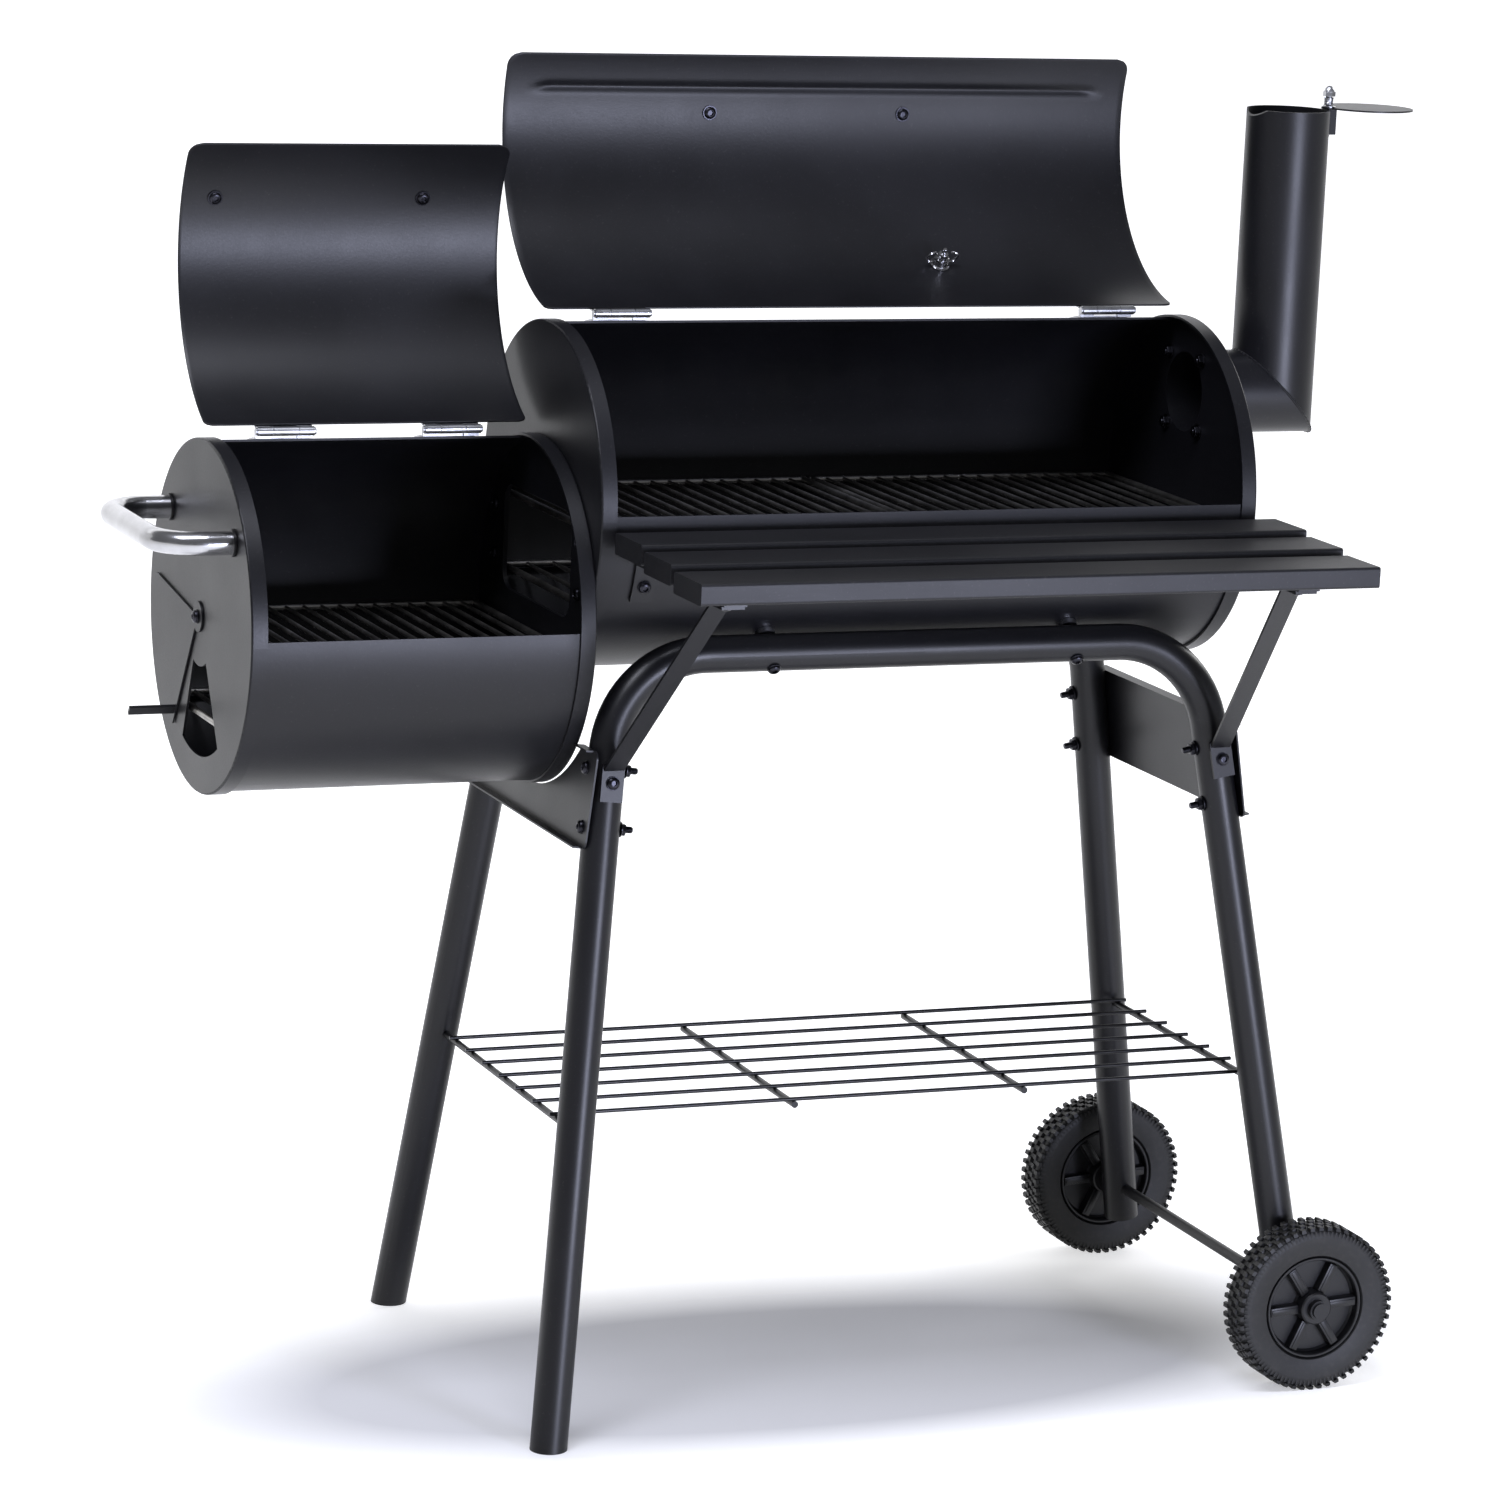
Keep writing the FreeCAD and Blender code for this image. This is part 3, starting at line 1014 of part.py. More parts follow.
# Struts: flat bars from the front legs to the shelf brackets, with a flat tab at each end.
struts = []
strut_bolts = []
for side, top_x in (("left", S.bracket_left), ("right", S.bracket_right)):
    leg = LEGS["leg_front_" + side]
    point = leg.at(S.strut_height)
    out = leg.forward if leg.forward.y < 0 else leg.forward * -1
    foot = point + out * (S.tube_radius + 0.1 + S.bracket_wall / 2)
    head = V(top_x, S.shelf_front + S.slat_wide / 2, S.shelf_under - S.bracket_wall * 1.5)
    along_leg = (leg.corner - leg.foot).normalize()
    name = "strut_" + side
    foot_tab = middle_block(name + "_foot", frame(foot, out, along_leg), "strut_tab", "bracket_wide", "bracket_wall")
    head_tab = middle_block(name + "_head", frame(head, UP, ALONG), "bracket_wide", "strut_tab", "bracket_wall")
    begin = foot + along_leg * (S.strut_tab / 2 - 5)
    finish = head + V(0, S.strut_tab / 2 - 5, 0)
    rise = finish - begin
    bar_place = frame(begin, rise, ALONG) * FreeCAD.Placement(V(1 - S.bracket_wide / 2, 0.2 - S.bracket_wall / 2, 0),
                                                              FreeCAD.Rotation())
    bar = block(name + "_bar", bar_place, "bracket_wide - 2", "bracket_wall - 0.4", "%r" % rise.Length)
    grip = S.bracket_wall + 0.1 + 2 * S.tube_radius
    start = point + out * (S.tube_radius + 0.1 + S.bracket_wall)
    strut_bolts.append(bolt(name + "_bolt", start, out * -1, grip, S.seat))
    top_seat = head - UP * S.bracket_wall
    top_hole = rod(name + "_top_hole", top_seat - UP * 3, UP, "bolt_radius + bolt_run", "20")
    clamp_hole = bolt_hole(name + "_slot", start, out * -1, S.bracket_wall)
    struts.append(cut(name, fuse(name + "_body", [foot_tab, bar, head_tab]), [clamp_hole, top_hole]))
node("shelf_struts", group("ShelfStruts", struts))
node("shelf_brackets", group("ShelfBrackets", brackets))
node("strut_bolts", group("StrutBolts", strut_bolts + bracket_bolts))


# ---- Bottom rack: long wires on four cross bars ----

left_leg = LEGS["leg_rear_left"].at(S.rack_height)
right_leg = LEGS["leg_rear_right"].at(S.rack_height)
rack_parts = []
for i in range(4):
    x = left_leg.x + (right_leg.x - left_leg.x) * i / 3
    half = S.rack_half + S.rack_bar
    if i == 0:
        half = left_leg.y - S.tube_radius + S.rack_hold
    if i == 3:
        half = right_leg.y - S.tube_radius + S.rack_hold
    rack_parts.append(rod("rack_bar_%d" % i, V(x, -half, S.rack_height), BACK, "rack_bar", "%r" % (2 * half)))
wire_height = S.rack_height + S.rack_bar + S.rack_wire - 0.4
wire_count = int(S.rack_wires)
for i in range(wire_count):
    y = -S.rack_half + 2 * S.rack_half * i / (wire_count - 1)
    rack_parts.append(rod("rack_wire_%d" % i, V(left_leg.x - S.rack_past, y, wire_height), ALONG, "rack_wire",
                          "%r" % (right_leg.x - left_leg.x + 2 * S.rack_past)))
node("bottom_rack", fuse("BottomRack", rack_parts))


# ---- Axle and wheels ----

axle_point = LEGS["leg_rear_right"].at(S.wheel_radius)
axle_x = axle_point.x
hub_out = S.wheel_inner + S.hub_width
axle_half = hub_out + S.bolt_nut + 1
axle = rod("Axle", V(axle_x, -axle_half, S.wheel_radius), BACK, "axle_radius", "%r" % (2 * axle_half))
node("axle", axle)

fittings = []
for end in (-1, 1):
    out = BACK * end
    inner = V(axle_x, 0, S.wheel_radius) + out * (abs(axle_point.y) + S.tube_radius + 1.2)
    long = S.wheel_inner - 0.6 - abs(inner.y)
    collar = rod("axle_collar_%d" % (end + 1), inner, out, "axle_radius + 3", "%r" % long)
    collar_bore = rod("axle_collar_bore_%d" % (end + 1), inner - out, out, "axle_radius", "%r" % (long + 2))
    fittings.append(cut("axle_spacer_%d" % (end + 1), collar, [collar_bore]))
    nut_seat = V(axle_x, end * (hub_out + 0.6), S.wheel_radius)
    nut = rod("axle_nut_%d" % (end + 1), nut_seat, out, "axle_radius + 4", "axle_nut")
    dome = rod("axle_dome_%d" % (end + 1), nut_seat + out * S.axle_nut, out, "axle_radius + 2", "2.6")
    nut_bore = rod("axle_nut_bore_%d" % (end + 1), nut_seat - out, out, "axle_radius", "%r" % (axle_half - hub_out + 0.4))
    fittings.append(cut("axle_cap_%d" % (end + 1), fuse("axle_cap_body_%d" % (end + 1), [nut, dome]), [nut_bore]))
node("axle_fittings", group("AxleFittings", fittings))

for end, place_name in ((-1, "front"), (1, "rear")):
    out = BACK * end
    inner = V(axle_x, end * S.wheel_inner, S.wheel_radius)
    name = "wheel_" + place_name
    tread = rod(name + "_tread", inner, out, "wheel_radius", "wheel_width")
    tread_room = rod(name + "_tread_room", inner - out * 5, out, "wheel_radius - tyre_deep", "wheel_width + 10")

    def shoulder(edge):
        """The tread ring's outer round edges."""
        return isinstance(edge.Curve, Part.Circle) and abs(edge.Curve.Radius - S.wheel_radius) < 0.01
    node(name + "_tyre", cut(name + "_ring", rounded(name + "_soft", tread, S.tyre_round, shoulder), [tread_room]))
    rim_start = inner + out * ((S.wheel_width - S.rim_wide) / 2)
    rim = rod(name + "_rim", rim_start, out, "wheel_radius - tyre_deep", "rim_wide")
    rim_room = rod(name + "_rim_room", rim_start - out * 5, out, "wheel_radius - tyre_deep - rim_ring",
                   "rim_wide + 10")
    parts = [cut(name + "_rim_ring", rim, [rim_room]), rod(name + "_hub", inner, out, "hub_radius", "hub_width")]
    count = int(S.spokes)
    spoke_long = S.wheel_radius - S.tyre_deep - S.rim_ring / 2 - S.hub_radius / 2
    for i in range(count):
        angle = math.radians(360 * i / count + 15)
        direction = V(math.cos(angle), 0, math.sin(angle))
        middle = inner + out * (S.wheel_width / 2) + direction * (S.hub_radius / 2 + spoke_long / 2)
        parts.append(middle_block("%s_spoke_%d" % (name, i), frame(middle, out, direction), "%r" % spoke_long,
                                  "spoke_wide", "spoke_wall"))
    bore = rod(name + "_bore", inner - out * 5, out, "axle_radius + axle_run", "hub_width + 10")
    node(name + "_hub", cut(name + "_centre", fuse(name + "_centre_body", parts), [bore]))


# ---- Grates and the ledges that carry them ----

def grate(name, x_start, x_end, half, height, pitch):
    """A wire grate: a frame of round bar with wires across the barrel."""
    long = x_end - x_start
    parts = []
    for i, y in enumerate((-half + S.grate_frame, half - S.grate_frame)):
        parts.append(rod("%s_side_%d" % (name, i), V(x_start, y, height), ALONG, "grate_frame", "%r" % long))
    for i, x in enumerate((x_start + S.grate_frame, x_end - S.grate_frame)):
        parts.append(rod("%s_end_%d" % (name, i), V(x, -half, height), BACK, "grate_frame", "%r" % (2 * half)))
    count = int(long / pitch)
    for i in range(1, count):
        x = x_start + long * i / count
        parts.append(rod("%s_wire_%d" % (name, i), V(x, -half + 1.5, height), BACK, "grate_wire",
                         "%r" % (2 * half - 3)))
    return fuse(name, parts)


def grate_half(centre_height, height):
    """Half the barrel's clear width at a grate's height."""
    drop = abs(centre_height - height) + S.grate_frame
    return math.sqrt((S.barrel_radius - S.barrel_wall) ** 2 - drop ** 2) - S.grate_clear


ledges = []


def ledge_pair(x_face, inward, height, centre, near):
    """Two folded angles on a cap, one each side of the passage, that carry a grate's end."""
    top = height - S.grate_frame
    drop = abs(centre - top) + S.ledge_tall
    limit = math.sqrt((S.barrel_radius - S.barrel_wall) ** 2 - drop ** 2) - S.ledge_clear
    width = min(S.ledge_wide, limit - near)
    x = x_face if inward > 0 else x_face - S.ledge_deep
    wall_x = x_face if inward > 0 else x_face - S.ledge_wall
    for y in (near, -near - width):
        name = "ledge_%d" % len(ledges)
        shelf = block(name + "_shelf", FreeCAD.Placement(V(x, y, top - S.ledge_wall), FreeCAD.Rotation()),
                      "ledge_deep", "%r" % width, "ledge_wall")
        plate = block(name + "_back", FreeCAD.Placement(V(wall_x, y, top - S.ledge_tall), FreeCAD.Rotation()),
                      "ledge_wall", "%r" % width, "ledge_tall")
        ledges.append(fuse(name, [shelf, plate]))


main_half = grate_half(S.main_height, S.grate_height)
main_left = S.cap_wall + S.grate_gap
main_right = S.main_length - S.cap_wall - S.grate_gap
middle = (main_left + main_right) / 2
node("main_grate_left", grate("MainGrateLeft", main_left, middle - S.grate_gap / 2, main_half, S.grate_height,
                              S.grate_pitch))
node("main_grate_right", grate("MainGrateRight", middle + S.grate_gap / 2, main_right, main_half, S.grate_height,
                               S.grate_pitch))
coal_height = S.grate_height - S.coal_drop
node("main_charcoal_grate", grate("MainCoalGrate", main_left, main_right, grate_half(S.main_height, coal_height),
                                  coal_height, S.grate_pitch * 1.5))
fire_left = S.cap_wall + S.grate_gap - S.fire_length
fire_right = -S.cap_wall - S.grate_gap
fire_half = grate_half(S.fire_height, S.fire_grate_height)
node("firebox_grate", grate("FireGrate", fire_left, fire_right, fire_half, S.fire_grate_height, S.grate_pitch))
fire_coal = S.fire_grate_height - S.coal_drop
node("firebox_charcoal_grate", grate("FireCoalGrate", fire_left, fire_right, grate_half(S.fire_height, fire_coal),
                                     fire_coal, S.grate_pitch * 1.5))
past_passage = PASS_WIDTH / 2 + S.ledge_clear
past_bolts = JOIN_SPREAD + S.bolt_hex + S.ledge_clear
main_ends = (S.cap_wall, S.main_length - S.cap_wall)
fire_ends = (S.cap_wall - S.fire_length, -S.cap_wall)
for height, centre, ends, near in (
        (S.grate_height, S.main_height, main_ends, past_bolts),
        (coal_height, S.main_height, main_ends, past_passage),
        (S.fire_grate_height, S.fire_height, fire_ends, past_passage),
        (fire_coal, S.fire_height, fire_ends, past_passage)):
    for x_face, inward in ((ends[0], 1), (ends[1], -1)):
        ledge_pair(x_face, inward, height, centre, near)
cross = middle - S.ledge_wall * 4
cross_half = grate_half(S.main_height, S.grate_height - S.grate_bar)
ledges.append(block("GrateBar", FreeCAD.Placement(V(cross, -cross_half, S.grate_height - S.grate_frame - S.grate_bar),
                                                  FreeCAD.Rotation()), "ledge_wall * 8", "%r" % (2 * cross_half),
                    "grate_bar"))
node("grate_ledges", group("GrateLedges", ledges))


# ---- Checks and files ----

doc.recompute()
for item in doc.Objects:
    if "Invalid" in item.State or "Error" in item.State:
        raise RuntimeError("%s did not rebuild: %s" % (item.Name, item.State))
for label, piece in nodes.items():
    shape = piece.Shape
    if shape.isNull() or not shape.isValid() or not shape.Solids:
        raise RuntimeError("%s has no sound solid" % label)
os.makedirs("parts", exist_ok=True)
for label, piece in nodes.items():
    piece.Shape.exportStep("parts/%s.step" % label)
    box = piece.Shape.BoundBox
    spans = "  ".join("%s %7.1f..%7.1f" % span for span in (
        ("x", box.XMin, box.XMax), ("y", box.YMin, box.YMax), ("z", box.ZMin, box.ZMax)))
    print("%-24s solids %2d  volume %9.0f  %s" % (label, len(piece.Shape.Solids), piece.Shape.Volume, spans))
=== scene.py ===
import json
import math

import bmesh
import bpy
import numpy as np
from bpy.props import FloatProperty, FloatVectorProperty, IntProperty
from mathutils import Matrix, Vector


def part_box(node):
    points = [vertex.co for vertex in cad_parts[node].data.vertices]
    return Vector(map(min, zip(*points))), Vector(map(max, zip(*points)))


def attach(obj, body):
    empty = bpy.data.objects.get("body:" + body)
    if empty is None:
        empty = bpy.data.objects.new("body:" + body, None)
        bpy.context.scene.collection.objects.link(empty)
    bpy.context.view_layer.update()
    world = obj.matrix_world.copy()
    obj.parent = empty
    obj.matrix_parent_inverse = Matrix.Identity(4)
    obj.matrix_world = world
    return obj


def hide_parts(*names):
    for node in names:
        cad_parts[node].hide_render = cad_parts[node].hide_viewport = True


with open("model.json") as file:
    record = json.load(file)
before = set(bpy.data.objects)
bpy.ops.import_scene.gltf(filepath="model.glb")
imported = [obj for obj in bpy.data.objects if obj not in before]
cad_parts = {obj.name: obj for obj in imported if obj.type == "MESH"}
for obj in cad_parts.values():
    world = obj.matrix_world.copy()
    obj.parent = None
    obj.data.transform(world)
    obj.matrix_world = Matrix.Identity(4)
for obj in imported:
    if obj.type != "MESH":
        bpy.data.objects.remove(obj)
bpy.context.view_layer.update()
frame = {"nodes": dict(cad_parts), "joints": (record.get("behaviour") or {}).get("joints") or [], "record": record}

bl_info = {
    "name": "Offset smoker",
    "version": (1, 0, 0),
    "blender": (4, 5, 0),
    "location": "3D View > Sidebar > Smoker",
    "description": "Finishes and fine pieces of an offset barrel smoker, and its studio",
    "category": "Object",
}

MM = 0.001
UP = Vector((0, 0, 1))
ALONG = Vector((1, 0, 0))
BACK = Vector((0, 1, 0))
made = {}  # the finishes by material slot, filled by the first step


# ---- Shader helpers ----

def tone(code):
    """A linear colour from an sRGB hex code."""
    parts = [int(code[i:i + 2], 16) / 255 for i in (1, 3, 5)]
    return tuple(c / 12.92 if c <= 0.04045 else ((c + 0.055) / 1.055) ** 2.4 for c in parts) + (1.0,)


def add(tree, kind, links=None, **settings):
    """Add a node; plain settings are properties, links go to named or numbered inputs."""
    item = tree.nodes.new(kind)
    for key, setting in settings.items():
        setattr(item, key, setting)
    for key, source in (links or {}).items():
        socket = item.inputs[key]
        if isinstance(source, bpy.types.NodeSocket):
            tree.links.new(source, socket)
        else:
            socket.default_value = source
    return item


def blank(name):
    """A material with an empty node tree, its output and object coordinates."""
    material = bpy.data.materials.new(name)
    material.use_nodes = True
    tree = material.node_tree
    tree.nodes.clear()
    return material, tree, add(tree, "ShaderNodeTexCoord").outputs["Object"]


def noise(tree, where, size, detail=3.0, stretch=None):
    """Noise whose features are about size millimetres, stretched by a factor on each axis."""
    if stretch:
        where = add(tree, "ShaderNodeMapping", {"Vector": where, "Scale": stretch}).outputs["Vector"]
    links = {"Vector": where, "Scale": 1 / (size * MM), "Detail": detail}
    return add(tree, "ShaderNodeTexNoise", links).outputs["Fac"]


def spread(tree, value, low, high, start=0.3, stop=0.7):
    """Remap a pattern to a range."""
    return add(tree, "ShaderNodeMapRange", {"Value": value, "From Min": start, "From Max": stop,
                                            "To Min": low, "To Max": high}).outputs["Result"]


def blend(tree, amount, first, second):
    """Mix two colours by a pattern."""
    item = add(tree, "ShaderNodeMix", data_type="RGBA")
    for socket, source in ((item.inputs[0], amount), (item.inputs[6], first), (item.inputs[7], second)):
        if isinstance(source, bpy.types.NodeSocket):
            tree.links.new(source, socket)
        else:
            socket.default_value = source
    return item.outputs[2]


def finish_surface(tree, surface):
    """Send a shader to the material's output."""
    add(tree, "ShaderNodeOutputMaterial", {"Surface": surface})


def bump(tree, height, depth, normal=None):
    """A bump whose full height is depth millimetres."""
    links = {"Height": height, "Distance": depth * MM, "Strength": 1.0}
    if normal:
        links["Normal"] = normal
    return add(tree, "ShaderNodeBump", links).outputs["Normal"]


def coated(name, dark, light, rough, peel, depth, dust, shine=0.32):
    """Powder coat on steel sheet: sprayed, baked, with orange peel and a trace of dust."""
    material, tree, where = blank(name)
    cloud = noise(tree, where, 140.0, 4.0)
    grain = noise(tree, where, 0.9, 2.0)
    ripple = noise(tree, where, peel, 3.0)
    colour = blend(tree, spread(tree, cloud, 0.0, 1.0), tone(dark), tone(light))
    specks = spread(tree, noise(tree, where, 2.2, 5.0), 0.0, dust, 0.62, 0.8)
    colour = blend(tree, specks, colour, tone("#6e6c6a"))
    shares = {0: spread(tree, cloud, rough - 0.035, rough + 0.045), 1: spread(tree, grain, -0.02, 0.03)}
    roughness = add(tree, "ShaderNodeMath", shares, operation="ADD").outputs[0]
    normal = bump(tree, ripple, depth)
    normal = bump(tree, grain, depth * 0.12, normal)
    shader = add(tree, "ShaderNodeBsdfPrincipled", {
        "Base Color": colour, "Roughness": roughness, "IOR": 1.5, "Specular IOR Level": shine,
        "Normal": normal})
    finish_surface(tree, shader.outputs[0])
    return material


def plated(name, dark, light, rough, grain_size, stretch, depth, stain=0.0):
    """Bare or plated metal with fine drawn lines and faint stains."""
    material, tree, where = blank(name)
    lines = noise(tree, where, grain_size, 4.0, stretch)
    cloud = noise(tree, where, 26.0, 4.0)
    colour = blend(tree, spread(tree, cloud, 0.0, 1.0), tone(dark), tone(light))
    if stain:
        marks = spread(tree, noise(tree, where, 7.0, 6.0), 0.0, stain, 0.55, 0.75)
        colour = blend(tree, marks, colour, tone("#3a2c22"))
    shares = {0: spread(tree, lines, rough - 0.05, rough + 0.06), 1: spread(tree, cloud, -0.03, 0.04)}
    roughness = add(tree, "ShaderNodeMath", shares, operation="ADD").outputs[0]
    shader = add(tree, "ShaderNodeBsdfPrincipled", {
        "Base Color": colour, "Metallic": 1.0, "Roughness": roughness, "Normal": bump(tree, lines, depth)})
    finish_surface(tree, shader.outputs[0])
    return material


def moulded(name, dark, light, rough, size, depth, dust=0.1):
    """Injection-moulded polymer with a fine texture and dust in the low places."""
    material, tree, where = blank(name)
    grain = noise(tree, where, size, 3.0)
    cloud = noise(tree, where, 40.0, 3.0)
    colour = blend(tree, spread(tree, cloud, 0.0, 1.0), tone(dark), tone(light))
    dusty = spread(tree, noise(tree, where, 5.0, 6.0), 0.0, dust, 0.5, 0.8)
    colour = blend(tree, dusty, colour, tone("#57524c"))
    shader = add(tree, "ShaderNodeBsdfPrincipled", {
        "Base Color": colour, "IOR": 1.5, "Specular IOR Level": 0.35,
        "Roughness": spread(tree, grain, rough - 0.04, rough + 0.06),
        "Normal": bump(tree, grain, depth)})
    finish_surface(tree, shader.outputs[0])
    return material


def plain(name, code, rough, metal=0.0, coat=0.0):
    """Even paint or print with a slight unevenness in its gloss."""
    material, tree, where = blank(name)
    grain = noise(tree, where, 3.0, 3.0)
    colour = blend(tree, spread(tree, grain, 0.0, 0.12), tone(code), tone("#808080"))
    shader = add(tree, "ShaderNodeBsdfPrincipled", {
        "Base Color": colour, "Metallic": metal, "Coat Weight": coat, "Coat Roughness": 0.08,
        "Roughness": spread(tree, grain, rough - 0.03, rough + 0.04)})
    finish_surface(tree, shader.outputs[0])
    return material


def glazed(name):
    """Flat soda-lime gauge glass: clear, with faint smears."""
    material, tree, where = blank(name)
    smear = noise(tree, where, 12.0, 4.0)
    shader = add(tree, "ShaderNodeBsdfPrincipled", {
        "Base Color": tone("#f4f8f6"), "Transmission Weight": 1.0, "IOR": 1.45,
        "Roughness": spread(tree, smear, 0.01, 0.06)})
    finish_surface(tree, shader.outputs[0])
    return material


# ---- Geometry helpers ----

def turned(direction, about=None):
    """A rotation that carries Z to a direction and X as near as can be to another."""
    z = Vector(direction).normalized()
    x = Vector(about) if about else (UP if abs(z.dot(UP)) < 0.9 else ALONG)
    x = (x - z * z.dot(x)).normalized()
    y = z.cross(x)
    return Matrix((x, y, z)).transposed().to_4x4()


def place(origin, direction, about=None):
    """A frame at a point whose Z lies along a direction."""
    return Matrix.Translation(origin) @ turned(direction, about)


def revolve(bm, outline, where, steps, closed=False):
    """Turn an outline of (radius, height) pairs in mm about the frame's Z axis."""
    corners = [bm.verts.new(where @ Vector((r * MM, 0, h * MM))) for r, h in outline]
    pairs = list(zip(corners, corners[1:])) + ([(corners[-1], corners[0])] if closed else [])
    edges = [bm.edges.new(pair) for pair in pairs]
    axis = (where.to_3x3() @ UP).normalized()
    bmesh.ops.spin(bm, geom=corners + edges, cent=where.translation, axis=axis, dvec=(0, 0, 0),
                   angle=math.tau, steps=steps, use_merge=True)
    loose = [v for v in bm.verts if not v.link_faces]
    bmesh.ops.delete(bm, geom=loose, context="VERTS")


def prism(bm, sides, radius, height, where, chamfer=0.0):
    """A straight bar with flat sides from the frame's origin, its far rim chamfered."""
    shift = where @ Matrix.Translation((0, 0, height * MM / 2))
    bar = bmesh.ops.create_cone(bm, cap_ends=True, segments=sides, radius1=radius * MM,
                                radius2=radius * MM, depth=height * MM, matrix=shift)["verts"]
    if chamfer:
        far = [v for v in bar if (where.inverted() @ v.co).z > height * MM * 0.5]
        rims = [e for e in bm.edges if e.verts[0] in far and e.verts[1] in far]
        bmesh.ops.bevel(bm, geom=rims, offset=chamfer * MM, offset_type="OFFSET", segments=2, profile=0.5,
                        affect="EDGES", clamp_overlap=True, material=-1)


def brick(bm, size, where, bevel=0.0, taper=1.0):
    """A box centred on a frame, with its top drawn in and its edges rounded."""
    scale = Matrix.Diagonal((size[0] * MM, size[1] * MM, size[2] * MM, 1))
    corners = bmesh.ops.create_cube(bm, size=1.0, matrix=where @ scale)["verts"]
    if taper != 1.0:
        turn_back = where.inverted()
        for v in corners:
            local = turn_back @ v.co
            if local.z > 0:
                v.co = where @ Vector((local.x * taper, local.y * taper, local.z))
    if bevel:
        edges = list({e for v in corners for e in v.link_edges})
        bmesh.ops.bevel(bm, geom=edges, offset=bevel * MM, offset_type="OFFSET", segments=2, profile=0.5,
                        affect="EDGES", clamp_overlap=True, material=-1)


def wire(bm, points, radius, sides=10, closed=False):
    """A round wire along a list of points."""
    count = len(points)
    rings = []
    normal = None
    for i, point in enumerate(points):
        before = points[i - 1] if (i or closed) else point
        after = points[(i + 1) % count] if (i < count - 1 or closed) else point
        heading = (after - before).normalized()
        if normal is None:
            normal = heading.orthogonal().normalized()
        normal = (normal - heading * heading.dot(normal)).normalized()
        side = heading.cross(normal)
        ring = []
        for k in range(sides):
            a = math.tau * k / sides
            ring.append(bm.verts.new(point + (normal * math.cos(a) + side * math.sin(a)) * radius * MM))
        rings.append(ring)
    for one, two in zip(rings, rings[1:]):
        for k in range(sides):
            bm.faces.new((one[k], one[(k + 1) % sides], two[(k + 1) % sides], two[k]))
    if closed:
        one, two = rings[-1], rings[0]
        start = min(range(sides), key=lambda k: (two[k].co - one[0].co).length)
        for k in range(sides):
            far = (start + k) % sides
            bm.faces.new((one[k], one[(k + 1) % sides], two[(far + 1) % sides], two[far]))
    else:
        bm.faces.new(list(reversed(rings[0])))
        bm.faces.new(rings[-1])


def piece(name, bm, materials, body, hides=(), smooth=35.0):
    """Turn a bmesh into a piece that rides on a body, and may stand for CAD nodes."""
    bmesh.ops.remove_doubles(bm, verts=bm.verts, dist=1e-6)
    bmesh.ops.recalc_face_normals(bm, faces=bm.faces)
    mesh = bpy.data.meshes.new(name)
    for face in bm.faces:
        face.smooth = True
    bm.to_mesh(mesh)
    bm.free()
    mesh.set_sharp_from_angle(angle=math.radians(smooth))
    thing = bpy.data.objects.new(name, mesh)
    bpy.context.scene.collection.objects.link(thing)
    for material in materials:
        mesh.materials.append(material)
    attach(thing, body)
    if hides:
        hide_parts(*hides)
    return thing


def islands(node):
    """The separate solids of a CAD node, each as an array of its points."""
    bm = bmesh.new()
    bm.from_mesh(frame["nodes"][node].data)
    bmesh.ops.remove_doubles(bm, verts=bm.verts, dist=1e-5)
    left = set(bm.verts)
    found = []
    while left:
        stack = [left.pop()]
        group = []
        while stack:
            v = stack.pop()
            group.append(tuple(v.co))
            for edge in v.link_edges:
                other = edge.other_vert(v)
                if other in left:
                    left.remove(other)
                    stack.append(other)
        found.append(np.array(group))
    bm.free()
    return sorted(found, key=lambda g: tuple(g.mean(0).round(4)))


def long_line(points):
    """A solid's long axis: its wide end, its unit direction and its length in metres."""
    middle = (points.max(0) + points.min(0)) / 2
    spread_out = points - points.mean(0)
    axis = np.linalg.eigh(spread_out.T @ spread_out)[1][:, -1]
    along = (points - middle) @ axis
    off = np.linalg.norm((points - middle) - np.outer(along, axis), axis=1)
    low = off[along < along.min() + 2e-4].max()
    high = off[along > along.max() - 2e-4].max()
    if high > low:
        axis = -axis
        along = -along
    centre = middle + axis * (along.max() + along.min()) / 2
    start = centre - axis * (along.max() - along.min()) / 2
    return Vector(start), Vector(axis), float(along.max() - along.min())


# ---- Sizes and colours that a user would change ----

class SmokerFinish(bpy.types.PropertyGroup):
    """Finishes of the smoker's own parts."""
    coat_rough: FloatProperty(
        name="Coat roughness", description="Satin of the black powder coat",
        default=0.40, min=0.05, max=1.0, subtype="FACTOR")
    tube_rough: FloatProperty(
        name="Tube roughness", description="Satin of the coat on the stand",
        default=0.36, min=0.05, max=1.0, subtype="FACTOR")
    peel: FloatProperty(
        name="Orange peel", description="Size of the coat's ripple in millimetres",
        default=2.4, min=0.2, max=20.0)
    dust: FloatProperty(
        name="Dust", description="Dust specks on the coat",
        default=0.10, min=0.0, max=1.0, subtype="FACTOR")


class SmokerWheels(bpy.types.PropertyGroup):
    """The two wheels."""
    lugs: IntProperty(
        name="Lugs", description="Tread lugs round a wheel", default=54, min=12, max=90)
    lug_height: FloatProperty(
        name="Lug height", description="Height of a lug in millimetres", default=2.0, min=0.5, max=6.0)
    ribs: IntProperty(
        name="Ribs", description="Ribs on a wheel's centre", default=6, min=3, max=12)
    rib_turn: FloatProperty(
        name="Rib turn", description="Angle of the first rib",
        default=math.radians(4.0), unit="ROTATION", subtype="ANGLE")


